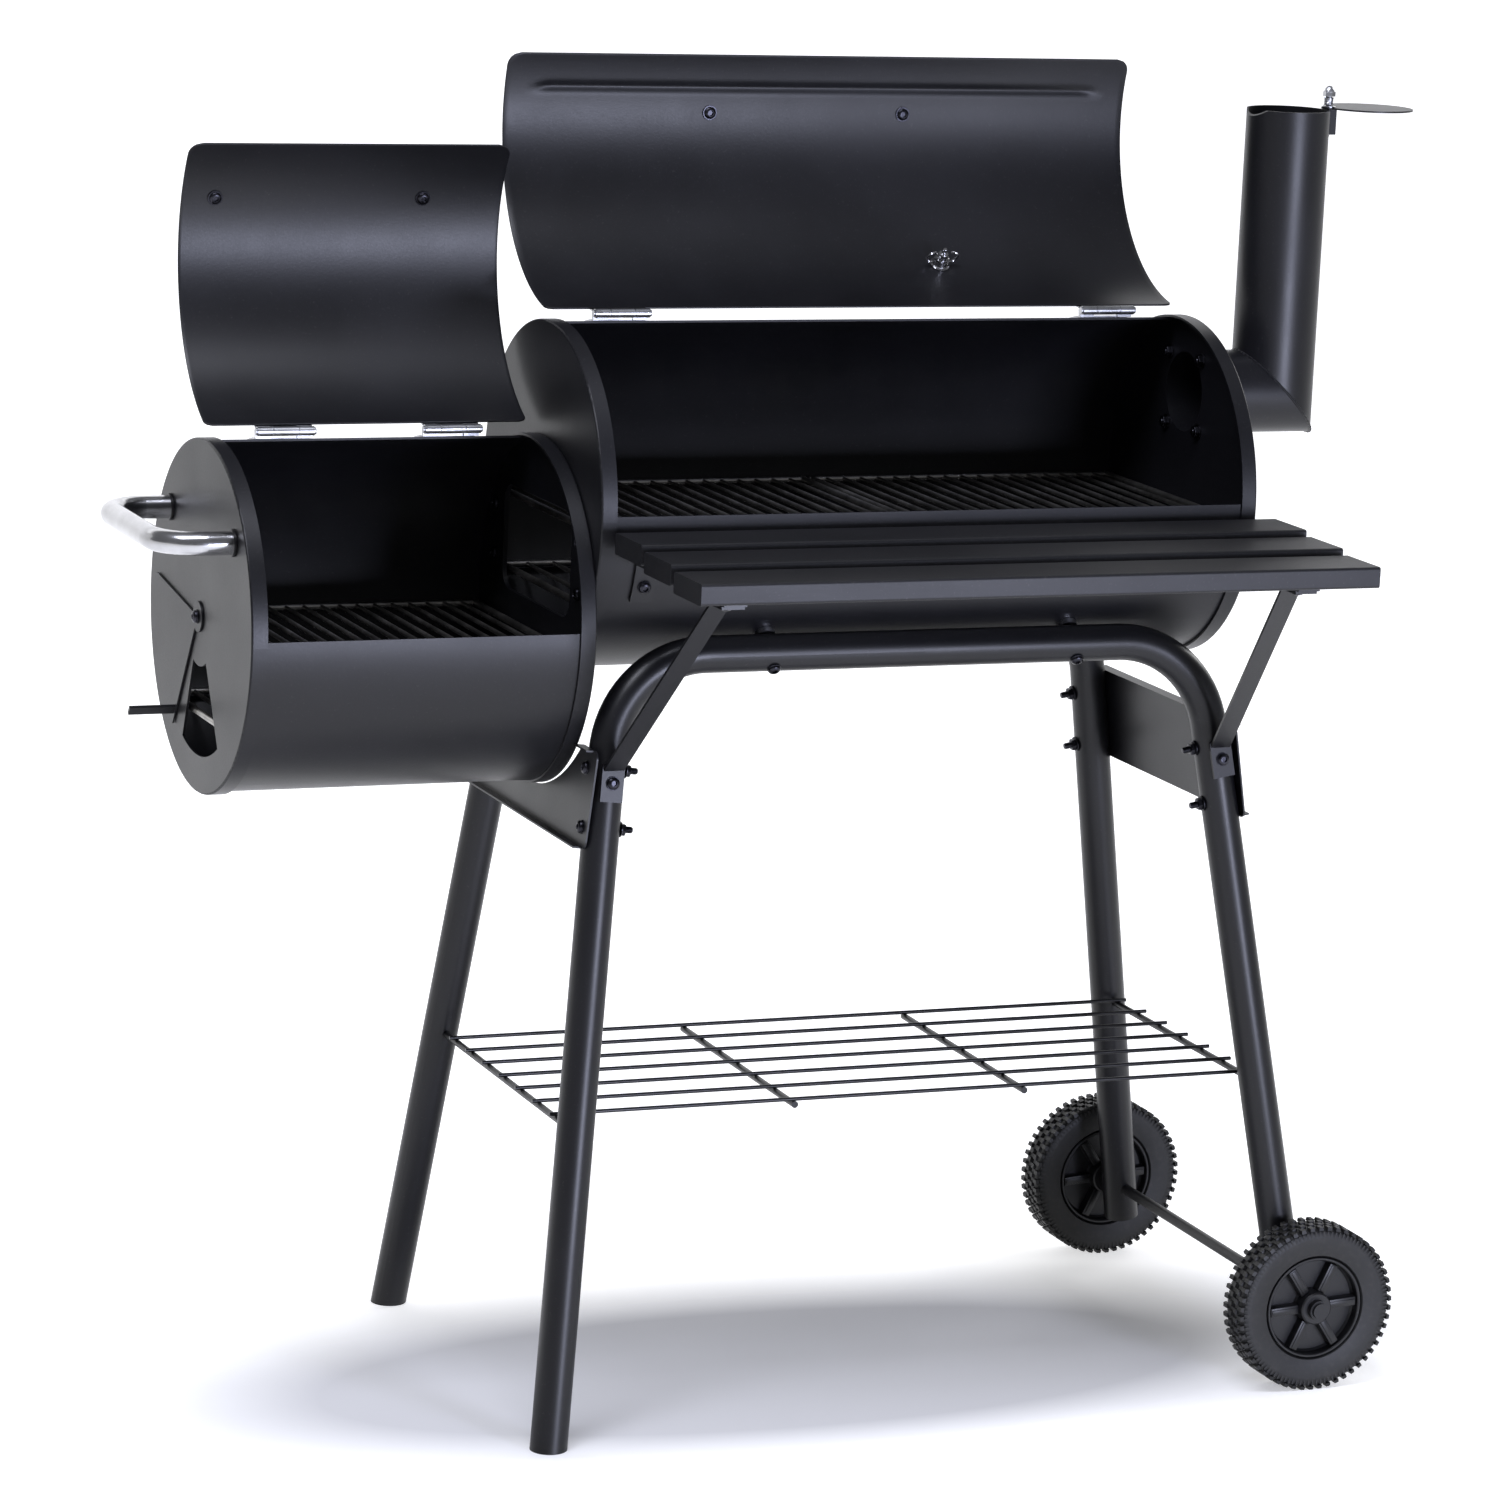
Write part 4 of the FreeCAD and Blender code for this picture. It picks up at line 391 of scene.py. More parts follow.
class SmokerLids(bpy.types.PropertyGroup):
    """The two rolled lids, in millimetres."""
    wall: FloatProperty(
        name="Sheet", description="Lid sheet", default=1.5, min=0.5, max=4.0)
    corner: FloatProperty(
        name="Corner", description="Radius of the front corners", default=12.0, min=1.0, max=60.0)
    bead: FloatProperty(
        name="Bead", description="Height of the pressed bead", default=2.2, min=0.0, max=8.0)
    bead_width: FloatProperty(
        name="Bead width", description="Width of the pressed bead", default=7.0, min=2.0, max=30.0)
    bead_from_edge: FloatProperty(
        name="Bead from edge", description="Bead from the lid's front edge",
        default=31.0, min=5.0, max=120.0)
    bead_inset: FloatProperty(
        name="Bead inset", description="Bead's ends from the lid's ends",
        default=27.0, min=5.0, max=120.0)


class SmokerFasteners(bpy.types.PropertyGroup):
    """Bolts, screws, nuts and washers, in millimetres."""
    shank: FloatProperty(
        name="Shank", description="Radius of a bolt's or screw's thread", default=3.0, min=1.0, max=10.0)
    head_radius: FloatProperty(
        name="Head radius", description="Radius of a domed head", default=5.4, min=2.0, max=20.0)
    head: FloatProperty(
        name="Head", description="Height of a bolt's head and washer", default=4.0, min=1.0, max=20.0)
    screw_head: FloatProperty(
        name="Screw head", description="Height of a screw's head and washer", default=3.4, min=1.0, max=20.0)
    screw_seat: FloatProperty(
        name="Screw seat", description="From a screw's end to the face under its head",
        default=3.0, min=1.0, max=20.0)
    nut_radius: FloatProperty(
        name="Nut radius", description="Radius of a nut over its corners", default=5.6, min=2.0, max=20.0)
    nut: FloatProperty(
        name="Nut", description="Height of a nut and washer", default=5.0, min=1.0, max=20.0)
    past: FloatProperty(
        name="Past the nut", description="Thread beyond a nut", default=1.5, min=0.0, max=20.0)
    panel_past: FloatProperty(
        name="Past the panel's nut", description="Thread beyond the nuts of the side panels",
        default=7.0, min=0.0, max=20.0)
    washer: FloatProperty(
        name="Washer", description="Washer's radius past a nut or a handle's screw",
        default=1.3, min=0.0, max=4.0)
    head_washer: FloatProperty(
        name="Head washer", description="Washer's radius past a bolt's head", default=0.6, min=0.0, max=4.0)
    shelf_washer: FloatProperty(
        name="Shelf washer", description="Washer's radius past a shelf screw's head",
        default=0.4, min=0.0, max=4.0)
    pitch: FloatProperty(
        name="Thread pitch", description="Thread pitch", default=1.0, min=0.3, max=3.0)


class SmokerStage(bpy.types.PropertyGroup):
    """Camera, floor and studio light."""
    camera: FloatVectorProperty(
        name="Camera", description="Camera's place",
        default=(-1.8489, -4.4037, 1.5272), subtype="TRANSLATION", unit="LENGTH")
    yaw: FloatProperty(
        name="Yaw", description="Camera turned from the back towards the right",
        default=math.radians(22.32), unit="ROTATION", subtype="ANGLE")
    pitch: FloatProperty(
        name="Pitch", description="Camera tipped down",
        default=math.radians(11.46), unit="ROTATION", subtype="ANGLE")
    roll: FloatProperty(
        name="Roll", description="Camera rolled",
        default=math.radians(2.52), unit="ROTATION", subtype="ANGLE")
    lens: FloatProperty(
        name="Lens", description="Focal length in millimetres", default=134.8, min=10.0, max=400.0)
    key: FloatProperty(
        name="Key light", description="Power of the overhead softbox in watts",
        default=85.0, min=0.0, max=5000.0)
    fill: FloatProperty(
        name="Fill light", description="Power of the front softbox in watts",
        default=90.0, min=0.0, max=5000.0)
    # The greyer floor round the smoker is a painted shadow under it.
    painted_shadow_radius: FloatProperty(
        name="Painted floor shadow", description="Radius of the greyer floor round the smoker",
        default=0.55, min=0.0, max=5.0, unit="LENGTH")
    world: FloatProperty(
        name="World", description="Strength of the even light", default=0.20, min=0.0, max=5.0)


# ---- Finishes on the CAD nodes ----

class SmokerMakeFinishes(bpy.types.Operator):
    """Make the materials and put them on the CAD nodes by their material slots"""
    bl_idname = "smoker.finishes"
    bl_label = "Finishes"

    def execute(self, context):
        look = context.scene.smoker_finish
        made.update({
            # Cold-rolled sheet: rolled, riveted, then powder coated and baked.
            "black_steel": coated("Satin powder coat on sheet steel", "#0b0b0e", "#101014",
                                  look.coat_rough, look.peel, 0.05, look.dust),
            # Welded tube: bent, drilled, then powder coated.
            "black_frame": coated("Satin powder coat on bent tube", "#0b0b0e", "#101013",
                                  look.tube_rough, look.peel * 0.8, 0.035, look.dust),
            # Pressed shelf slats: coated a little flatter than the barrels.
            "black_slat": coated("Matt powder coat on shelf slats", "#111114", "#161619",
                                 look.coat_rough + 0.08, look.peel * 0.7, 0.05, look.dust * 1.4),
            # Dip-coated steel wire.
            "black_wire": coated("Dip coat on rack wire", "#0e0e10", "#141416",
                                 look.tube_rough - 0.04, 1.4, 0.03, look.dust * 0.6),
            # Drawn stainless tube, bent, then buffed along its length.
            "polished_steel": plated("Buffed stainless tube", "#a9a9ab", "#c4c4c6",
                                     0.20, 0.35, (1, 1, 1), 0.002),
            # Stamped steel with bright zinc plate.
            "zinc_steel": plated("Zinc plate on stamped steel", "#9a9b9f", "#c2c3c6",
                                 0.30, 0.5, (1, 1, 1), 0.004, 0.08),
            # Cold-headed steel with black oxide.
            "dark_bolts": plated("Black oxide on cold-headed steel", "#222226", "#3a3a40",
                                 0.30, 0.4, (1, 1, 1), 0.004, 0.05),
            # Drawn wire, welded, nickel plated.
            "grate_wire": plated("Nickel plate on welded wire", "#8e8c88", "#b4b2ad",
                                 0.34, 0.6, (1, 1, 1), 0.006, 0.35),
            # Injection-moulded polypropylene, semi-gloss.
            "black_plastic": moulded("Moulded polypropylene", "#08080a", "#0e0e10", 0.40, 0.5, 0.01, 0.04),
            # Moulded tread compound, matt.
            "wheel_tread": moulded("Moulded tread compound", "#0d0d0e", "#141414", 0.52, 0.8, 0.02, 0.10),
            # Screen-printed steel dial.
            "dial_white": plain("Printed enamel dial", "#e9e7e0", 0.35),
            "clear_glass": glazed("Gauge glass"),
            # Sprayed pointer.
            "needle_red": plain("Red lacquer", "#a8201a", 0.30, coat=0.4),
            "print_black": plain("Black dial print", "#1a1a1a", 0.45),
        })
        for part in frame["record"]["subparts"]:
            mesh = frame["nodes"][part["node"]].data
            mesh.materials.clear()
            mesh.materials.append(made[part["material_slot"]])
            for polygon in mesh.polygons:
                polygon.use_smooth = True
            mesh.set_sharp_from_angle(angle=math.radians(30))
        return {"FINISHED"}


# ---- Lids ----

def points_of(node):
    """A CAD node's mesh points as an array."""
    return np.array([tuple(v.co) for v in frame["nodes"][node].data.vertices])


def joint_of(body):
    """The joint that carries a body."""
    return [joint for joint in frame["joints"] if joint["child"] == body][0]


def inner_circle(flat, wall):
    """The centre of a rolled sheet's inner side, and how far each point lies from it.

    The circle is fitted to all the points, then to those of the inner side alone.
    """
    near = flat
    for share in (0.5, 0.15, 0.05):
        lhs = np.column_stack((2 * near, np.ones(len(near))))
        centre = np.linalg.lstsq(lhs, (near ** 2).sum(1), rcond=None)[0][:2]
        radius = np.linalg.norm(flat - centre, axis=1)
        near = flat[radius < radius.min() + wall * share]
    return centre, radius


def rolled_sheet(node, pin, look, bead):
    """A lid's middle surface, with rounded corners and a bead pressed outwards along its front."""
    wall = look.wall * MM
    points = np.unique(points_of(node).round(6), axis=0)
    flat = points[:, 1:]
    centre, radius = inner_circle(flat, wall)
    middle = radius.min() + wall / 2
    away = flat - centre
    angles = np.unwrap(np.sort(np.arctan2(away[:, 1], away[:, 0])))
    ends = (angles.min(), angles.max())
    near_pin = math.atan2(pin[2] - centre[1], pin[1] - centre[0])
    start, stop = sorted(ends, key=lambda a: abs(math.remainder(a - near_pin, math.tau)))
    low_x, high_x = points[:, 0].min(), points[:, 0].max()
    half = (high_x - low_x) / 2
    centre_x = (high_x + low_x) / 2
    arc = abs(stop - start) * middle
    bead_half = half - look.bead_inset * MM
    rows = int(arc / (2.0 * MM))
    columns = 96
    bm = bmesh.new()
    grid = []
    for i in range(rows + 1):
        along = arc * i / rows
        angle = start + (stop - start) * i / rows
        edge = min(along, arc - along)
        # The corners at the hinge are tighter than those at the front.
        corner = look.corner * MM if arc - along < arc / 2 else look.corner * MM * 0.6
        draw_in = 0.0
        if edge < corner:
            draw_in = corner - math.sqrt(corner ** 2 - (corner - edge) ** 2)
        line = []
        for k in range(columns + 1):
            x = (-1 + 2 * k / columns) * (half - draw_in)
            # The bead runs across and turns down a little at each end.
            turn_down = max(0.0, abs(x) - (bead_half - 12 * MM))
            line_at = arc - look.bead_from_edge * MM - turn_down ** 2 / (30 * MM)
            off = (along - line_at) / (look.bead_width * MM / 2)
            fade = min(1.0, max(0.0, (bead_half - abs(x)) / (9 * MM)))
            r = middle + bead * MM * math.exp(-off * off) * fade * fade * (3 - 2 * fade)
            spot = (centre_x + x, centre[0] + math.cos(angle) * r, centre[1] + math.sin(angle) * r)
            line.append(bm.verts.new(spot))
        grid.append(line)
    for one, two in zip(grid, grid[1:]):
        for k in range(columns):
            bm.faces.new((one[k], one[k + 1], two[k + 1], two[k]))
    return bm


class SmokerMakeLids(bpy.types.Operator):
    """Build the rolled lids with rounded corners; the long one has a soft pressed bead"""
    bl_idname = "smoker.lids"
    bl_label = "Lids"

    def execute(self, context):
        look = context.scene.smoker_lids
        for body, bead in (("main_lid", look.bead), ("firebox_lid", 0.0)):
            node = body + "_shell"
            bm = rolled_sheet(node, joint_of(body)["pos_m"], look, bead)
            lid = piece(body + "_sheet", bm, [made["black_steel"]], body, [node])
            shell = lid.modifiers.new("Sheet", "SOLIDIFY")
            shell.thickness = look.wall * MM
            shell.offset = 0.0
            soft = lid.modifiers.new("Edge", "BEVEL")
            soft.width = 0.35 * MM
            soft.segments = 2
            soft.limit_method = "ANGLE"
            soft.angle_limit = math.radians(50)
        return {"FINISHED"}


# ---- Wheels ----

def wheel_frame(node):
    """A wheel's centre, its outward direction and its half width, from the CAD tyre."""
    low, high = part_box(node)
    centre = (low + high) / 2
    out = BACK * (1 if centre.y > 0.05 else -1)
    return centre, out, (high.y - low.y) / 2 / MM, (high.z - low.z) / 2 / MM


class SmokerMakeTyres(bpy.types.Operator):
    """Build the lugged tread rings that stand for the plain CAD ones"""
    bl_idname = "smoker.tyres"
    bl_label = "Tyres"

    def execute(self, context):
        look = context.scene.smoker_wheels
        for side in ("front", "rear"):
            node = "wheel_%s_tyre" % side
            centre, out, half, radius = wheel_frame(node)
            hub_low, hub_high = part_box("wheel_%s_hub" % side)
            inner = (hub_high.z - hub_low.z) / 2 / MM
            ground = radius - look.lug_height
            here = place(centre, out, ALONG)
            bm = bmesh.new()
            edge = half - 5
            # Half the tyre's section, from the hub out to the groove round its middle; the rest mirrors it.
            flank = [(inner + 0.1, -edge + 2), (inner + 2, -edge - 1), (inner + 5, -edge - 1.6),
                     (ground - 9, -half + 0.8), (ground - 3.2, -half + 1.6), (ground - 0.9, -half + 3.6),
                     (ground, -half + 7), (ground, -1.6), (ground - 1.2, -1.2)]
            outline = flank + [(r, -h) for r, h in reversed(flank)]
            revolve(bm, outline, here, 120, closed=True)
            upright = Matrix.Rotation(math.pi / 2, 4, "Y")
            lug_middle = (radius - look.lug_height / 2 - 0.6) * MM
            # Two shoulder rows wrap over the edge; two middle rows sit between them.
            for i in range(look.lugs):
                for row, (across, wide, shift) in enumerate(((-half + 4.6, 8.4, 0.0), (-4.6, 6.0, 0.5),
                                                             (4.6, 6.0, 0.0), (half - 4.6, 8.4, 0.5))):
                    turn = Matrix.Rotation(math.tau * (i + shift) / look.lugs, 4, "Z")
                    long = math.tau * radius / look.lugs * (0.52 if row in (0, 3) else 0.6)
                    stand = here @ turn @ Matrix.Translation((lug_middle, 0, across * MM)) @ upright
                    brick(bm, (wide, long, look.lug_height + 1.1), stand, taper=0.82)
            # Short ticks down each shoulder.
            for i in range(look.lugs * 2):
                for face in (-1, 1):
                    turn = Matrix.Rotation(math.tau * (i + 0.25) / look.lugs / 2, 4, "Z")
                    spot = Matrix.Translation(((ground - 4.6) * MM, 0, face * (half - 1.5) * MM))
                    brick(bm, (5.0, 1.6, 1.1), here @ turn @ spot)
            piece("tyre_" + side, bm, [made["wheel_tread"]], "wheel_" + side, [node])
        return {"FINISHED"}


class SmokerMakeWheelCentres(bpy.types.Operator):
    """Build the dished wheel centres with their ribs and bosses"""
    bl_idname = "smoker.wheel_centres"
    bl_label = "Wheel centres"

    def execute(self, context):
        look = context.scene.smoker_wheels
        for side in ("front", "rear"):
            centre, out, half = wheel_frame("wheel_%s_tyre" % side)[:3]
            hub_low, hub_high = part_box("wheel_%s_hub" % side)
            outer = (hub_high.z - hub_low.z) / 2 / MM
            axle_low, axle_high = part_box("axle")
            bore = (axle_high.z - axle_low.z) / 2 / MM + 0.1
            here = place(centre, out, ALONG)
            bm = bmesh.new()
            edge = half - 4.4
            wall = outer - 3.2
            web = 3.4
            # The boss, the web and the rim on one side; the other side mirrors it.
            face_line = [(bore, -half), (13.4, -half), (14.6, -half + 1.2), (14.9, -web - 2), (16.4, -web),
                         (wall - 2, -web), (wall, -web - 2), (wall + 0.4, -edge + 0.8), (wall + 1.2, -edge),
                         (outer - 0.6, -edge), (outer, -edge + 0.8)]
            outline = face_line + [(r, -h) for r, h in reversed(face_line)]
            revolve(bm, outline, here, 96, closed=True)
            for i in range(look.ribs):
                for face in (-1, 1):
                    turn = Matrix.Rotation(look.rib_turn * -out.y + math.tau * i / look.ribs, 4, "Z")
                    flip = Matrix.Identity(4) if face > 0 else Matrix.Rotation(math.pi, 4, "X")
                    middle = (14.0 + wall) / 2
                    rise = half - 6.0 - web
                    stand = here @ turn @ flip @ Matrix.Translation((middle * MM, 0, (web + rise / 2) * MM))
                    brick(bm, (wall - 13.0, 9.0, rise), stand, bevel=0.9, taper=0.9)
                    strip = here @ turn @ flip @ Matrix.Translation((middle * MM, 0, (web + rise) * MM))
                    brick(bm, (wall - 18.0, 4.2, 1.6), strip, bevel=0.5)
            piece("wheel_centre_" + side, bm, [made["black_plastic"]], "wheel_" + side,
                  ["wheel_%s_hub" % side])
        return {"FINISHED"}


# ---- Fasteners ----

def washer_ring(bm, wide, where):
    """A flat washer a millimetre thick with soft edges."""
    outline = [(1.5, 0.0), (wide - 0.3, 0.0), (wide, 0.25), (wide, 0.75), (wide - 0.3, 1.0), (1.5, 1.0)]
    revolve(bm, outline, where, 28, closed=True)


def button_head(bm, seat, out, radius, height, washer):
    """A domed head with a round recess, on a washer; out points away from the clamped face."""
    here = place(seat, out)
    washer_ring(bm, radius + washer, here)
    dome = [(0.0, 1.0), (radius, 1.0), (radius, 1.0 + (height - 1) * 0.25)]
    for k in range(1, 6):
        a = math.pi / 2 * k / 6
        rise = 0.25 + 0.75 * math.sin(a)
        dome.append((radius * (1 - 0.42 * math.sin(a) ** 2), 1.0 + (height - 1) * rise))
    dome += [(radius * 0.46, height), (radius * 0.42, height - 0.3), (radius * 0.40, height - 1.6),
             (0.0, height - 1.6)]
    revolve(bm, dome, here, 24)


def hex_nut(bm, seat, out, across, height, washer):
    """A chamfered nut on a washer."""
    here = place(seat, out)
    washer_ring(bm, across + washer, here)
    prism(bm, 6, across, height - 1.0, here @ Matrix.Translation((0, 0, MM)), chamfer=0.7)


def thread(bm, start, out, radius, length, pitch):
    """A threaded shank: rings of ridges with a domed end."""
    here = place(start, out)
    root = radius - 0.35
    outline = [(0.0, 0.0)]
    height = 0.0
    while height < length - pitch:
        outline += [(root, height), (radius, height + pitch * 0.4), (root, height + pitch * 0.85)]
        height += pitch
    outline += [(radius - 0.4, height), (radius - 0.7, length - 0.2), (0.0, length)]
    revolve(bm, outline, here, 18)


class SmokerMakeBolts(bpy.types.Operator):
    """Build the bolts with domed heads, washers, nuts and threaded ends"""
    bl_idname = "smoker.bolts"
    bl_label = "Bolts"

    def execute(self, context):
        look = context.scene.smoker_fasteners
        for node in ("panel_bolts", "barrel_bolts", "cap_bolts", "strut_bolts", "vent_pivot"):
            past = look.panel_past if node == "panel_bolts" else look.past
            bm = bmesh.new()
            for solid in islands(node):
                start, axis, long = long_line(solid)
                seat = start + axis * look.head * MM
                nut_seat = start + axis * (long - (look.nut + past) * MM)
                button_head(bm, seat, axis * -1, look.head_radius, look.head, look.head_washer)
                hex_nut(bm, nut_seat, axis, look.nut_radius, look.nut, look.washer)
                shank = long / MM - look.head - 0.1
                thread(bm, seat + axis * 0.1 * MM, axis, look.shank, shank, look.pitch)
            piece(node + "_made", bm, [made["dark_bolts"]], "stand", [node])
        return {"FINISHED"}


class SmokerMakeScrews(bpy.types.Operator):
    """Build the round-headed screws of the handles and the shelf, and the collars under the handles"""
    bl_idname = "smoker.screws"
    bl_label = "Screws and collars"

    def execute(self, context):
        look = context.scene.smoker_fasteners
        collar = [(10.05, 0.1), (11.3, 0.1), (11.6, 0.5), (11.6, 2.2), (11.2, 2.7), (10.05, 2.7)]
        for node, body in (("main_lid_screws", "main_lid"), ("firebox_lid_screws", "firebox_lid"),
                           ("side_handle_screws", "stand"), ("shelf_screws", "stand")):
            on_handle = node != "shelf_screws"
            bm = bmesh.new()
            collars = bmesh.new()
            for solid in islands(node):
                start, axis, long = long_line(solid)
                seat = start + axis * look.screw_seat * MM
                washer = look.washer if on_handle else look.shelf_washer
                button_head(bm, seat, axis * -1, look.head_radius, look.screw_head, washer)
                thread(bm, seat, axis, look.shank, long / MM - look.screw_seat, look.pitch)
                if on_handle:
                    revolve(collars, collar, place(seat + axis * 2.1 * MM, axis), 40, closed=True)
            piece(node + "_made", bm, [made["dark_bolts"]], body, [node])
            if on_handle:
                name = node.replace("_screws", "_collars")
                piece(name, collars, [made["black_plastic"]], body)
            else:
                collars.free()
        return {"FINISHED"}


# ---- Chimney ----

class SmokerMakePivot(bpy.types.Operator):
    """Build the chimney cap's pivot screw with its coil spring and acorn nut"""
    bl_idname = "smoker.pivot"
    bl_label = "Chimney pivot"

    def execute(self, context):
        low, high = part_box("chimney_pivot")
        cap_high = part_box("chimney_cap")[1]
        centre = (low + high) / 2
        base = Vector((centre.x, centre.y, low.z))
        total = (high.z - low.z) / MM
        cap_top = (cap_high.z - low.z) / MM
        spring_base = cap_top + 0.4
        spring_tall = 9.0
        nut_base = spring_base + spring_tall + 0.2
        bm = bmesh.new()
        thread(bm, base, UP, 2.5, nut_base + 2, 0.8)
        here = place(base + UP * nut_base * MM, UP)
        prism(bm, 6, 5.6, 4.4, here, chamfer=0.6)
        dome = [(0.0, 4.0), (4.9, 4.4)]
        for k in range(1, 7):
            a = math.pi / 2 * k / 6
            dome.append((4.7 * math.cos(a), 4.4 + (total - nut_base - 4.4) * math.sin(a)))
        dome[-1] = (0.0, total - nut_base)
        revolve(bm, dome, here, 24)
        revolve(bm, [(2.6, 0.0), (6.0, 0.0), (6.2, 0.2), (6.2, 0.7), (6.0, 0.9), (2.6, 0.9)],
                place(base + UP * (spring_base - 0.35) * MM, UP), 28, closed=True)
        turns, steps = 5.5, 130
        coil = []
        for i in range(steps + 1):
            a = math.tau * turns * i / steps
            rise = spring_base + 1.3 + (spring_tall - 2.0) * i / steps
            coil.append(base + Vector((math.cos(a) * 3.9, math.sin(a) * 3.9, rise)) * MM)
        wire(bm, coil, 0.65, 8)
        piece("chimney_pivot_made", bm, [made["zinc_steel"]], "stand", ["chimney_pivot"])
        return {"FINISHED"}


class SmokerMakeWelds(bpy.types.Operator):
    """Build the weld bead round the chimney's mitre"""
    bl_idname = "smoker.welds"
    bl_label = "Weld bead"

    def execute(self, context):
        low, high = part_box("chimney_pipe")
        middle_y = (low.y + high.y) / 2
        radius = (high.y - low.y) / 2
        centre_x = low.x + radius
        centre_z = low.z + radius
        bm = bmesh.new()
        ring = []
        steps = 150
        for i in range(steps):
            a = math.tau * i / steps
            swell = 1 + 0.010 * math.sin(i * 2.1)
            x = math.cos(a) * radius * swell
            ring.append(Vector((centre_x + x, middle_y + math.sin(a) * radius * swell, centre_z - x)))
        wire(bm, ring, 1.15, 8, closed=True)
        piece("mitre_weld", bm, [made["black_steel"]], "stand")
        return {"FINISHED"}


# ---- Thermometer ----

class SmokerMakeGauge(bpy.types.Operator):
    """Build the thermometer's case and dial marks, and the wing nut behind the lid"""
    bl_idname = "smoker.gauge"
    bl_label = "Thermometer"

    def execute(self, context):
        joint = joint_of("thermometer_needle")
        axis = Vector(joint["axis"]).normalized() * -1
        centre = Vector(joint["pos_m"])

        def reach(node, pick):
            """How far a node goes along the gauge's axis from the pointer, in millimetres."""
            return pick((points_of(node) - np.array(centre)) @ np.array(axis)) / MM

        top = reach("thermometer_dial", np.max)
        here = place(centre + axis * top * MM, axis, ALONG)
        marks = bmesh.new()
        count = 37
        for i in range(count):
            a = math.radians(225 - 270 * i / (count - 1))
            big = i % 4 == 0
            turn = Matrix.Rotation(a, 4, "Z")
            long = 5.0 if big else 2.6
            stand = here @ turn @ Matrix.Translation(((25.4 - long / 2) * MM, 0, 0.06 * MM))
            brick(marks, (long, 0.9 if big else 0.4, 0.12), stand)
        piece("dial_marks", marks, [made["print_black"]], "main_lid")
        case_mesh = bmesh.new()
        rim = reach("thermometer_case", np.max)
        ring = place(centre + axis * rim * MM, axis, ALONG)
        lip = [(28.2, -0.8), (28.6, 0.5), (29.4, 1.0), (30.2, 0.6), (30.6, -0.6), (30.6, -4.2), (30.1, -4.6),
               (28.8, -2.0)]
        revolve(case_mesh, lip, ring, 72, closed=True)
        back = reach("thermometer_nut", np.max)
        depth = rim - back
        case_place = place(centre + axis * back * MM, axis, ALONG)
        # From the probe's end, over the stem and the can's back, up its side and down its inside.
        can = [(0.0, -19.0), (1.4, -19.0), (1.9, -18.4), (2.0, -14.2), (3.9, -14.0), (4.4, -13.4),
               (4.45, 0.3), (8.8, 0.4), (9.0, 0.8), (9.0, 4.6), (28.4, 4.8), (29.6, 5.4), (30.0, 6.4),
               (30.0, depth), (28.5, depth), (28.5, 6.5), (0.0, 6.5)]
        revolve(case_mesh, can, case_place, 72)
        piece("gauge_case", case_mesh, [made["polished_steel"]], "main_lid",
              ["thermometer_case"])

        clip = bmesh.new()
        tall = back - reach("thermometer_nut", np.min)
        seat = place(centre + axis * back * MM, axis * -1, ALONG)
        hub = [(4.75, 0.0), (8.6, 0.0), (9.0, 0.4), (9.0, 1.0), (7.0, 1.3), (6.6, tall), (4.75, tall)]
        revolve(clip, hub, seat, 32, closed=True)
        for face in (-1, 1):
            loop = []
            for i in range(25):
                a = math.radians(-35 + 250 * i / 24)
                loop.append(seat @ (Vector((face * (10.2 + 4.2 * math.sin(a)), math.sin(2 * a),
                                            tall * 0.6 + 5.4 - 5.6 * math.cos(a))) * MM))
            wire(clip, loop, 1.15, 10)
        # A thin spring clip wraps the stem beyond the nut.
        curl = []
        for i in range(49):
            a = math.tau * 1.6 * i / 48
            rise = tall + 1.2 + 2.8 * i / 48
            curl.append(seat @ (Vector((5.6 * math.cos(a), 5.6 * math.sin(a), rise)) * MM))
        wire(clip, curl, 0.6, 8)
        piece("wing_nut", clip, [made["polished_steel"]], "main_lid", ["thermometer_nut"])
        return {"FINISHED"}


# ---- Hinges ----

class SmokerMakeRivets(bpy.types.Operator):
    """Build the rivets through the hinge leaves"""
    bl_idname = "smoker.rivets"
    bl_label = "Hinge rivets"

    def execute(self, context):
        for node, body in (("barrel_hinges", "stand"), ("main_lid_hinges", "main_lid"),
                           ("firebox_lid_hinges", "firebox_lid")):
            bm = bmesh.new()
            for solid in islands(node):
                low, high = solid.min(0), solid.max(0)
                pins = [Vector(joint_of(lid)["pos_m"]) for lid in ("main_lid", "firebox_lid")]
                pin = min(pins, key=lambda spot: abs(spot.z - high[2]))
                away = solid - np.array(pin)
                away[:, 0] = 0
                far = solid[np.argmax(np.linalg.norm(away, axis=1))]
                edge = Vector((0, far[1], far[2]))
                run = (edge - Vector((0, pin.y, pin.z))).normalized()
                out = run.cross(ALONG).normalized()
                for x in (low[0] + 0.011, high[0] - 0.011):
                    spot = Vector((x, edge.y, edge.z)) - run * 4.2 * MM
                    probe = [Vector(p) for p in solid if abs(p[0] - x) < 0.03]
                    lift = max((p - spot).dot(out) for p in probe if (p - edge).yz.length < 0.012)
                    rivet = [(0.0, -0.3), (2.7, -0.3), (2.5, 0.4), (1.7, 1.0), (0.8, 1.25), (0.0, 1.3)]
                    revolve(bm, rivet, place(spot + out * max(lift - 0.2 * MM, 0), out), 18)
            piece(node + "_rivets", bm, [made["zinc_steel"]], body)
        return {"FINISHED"}


# ---- Stage ----

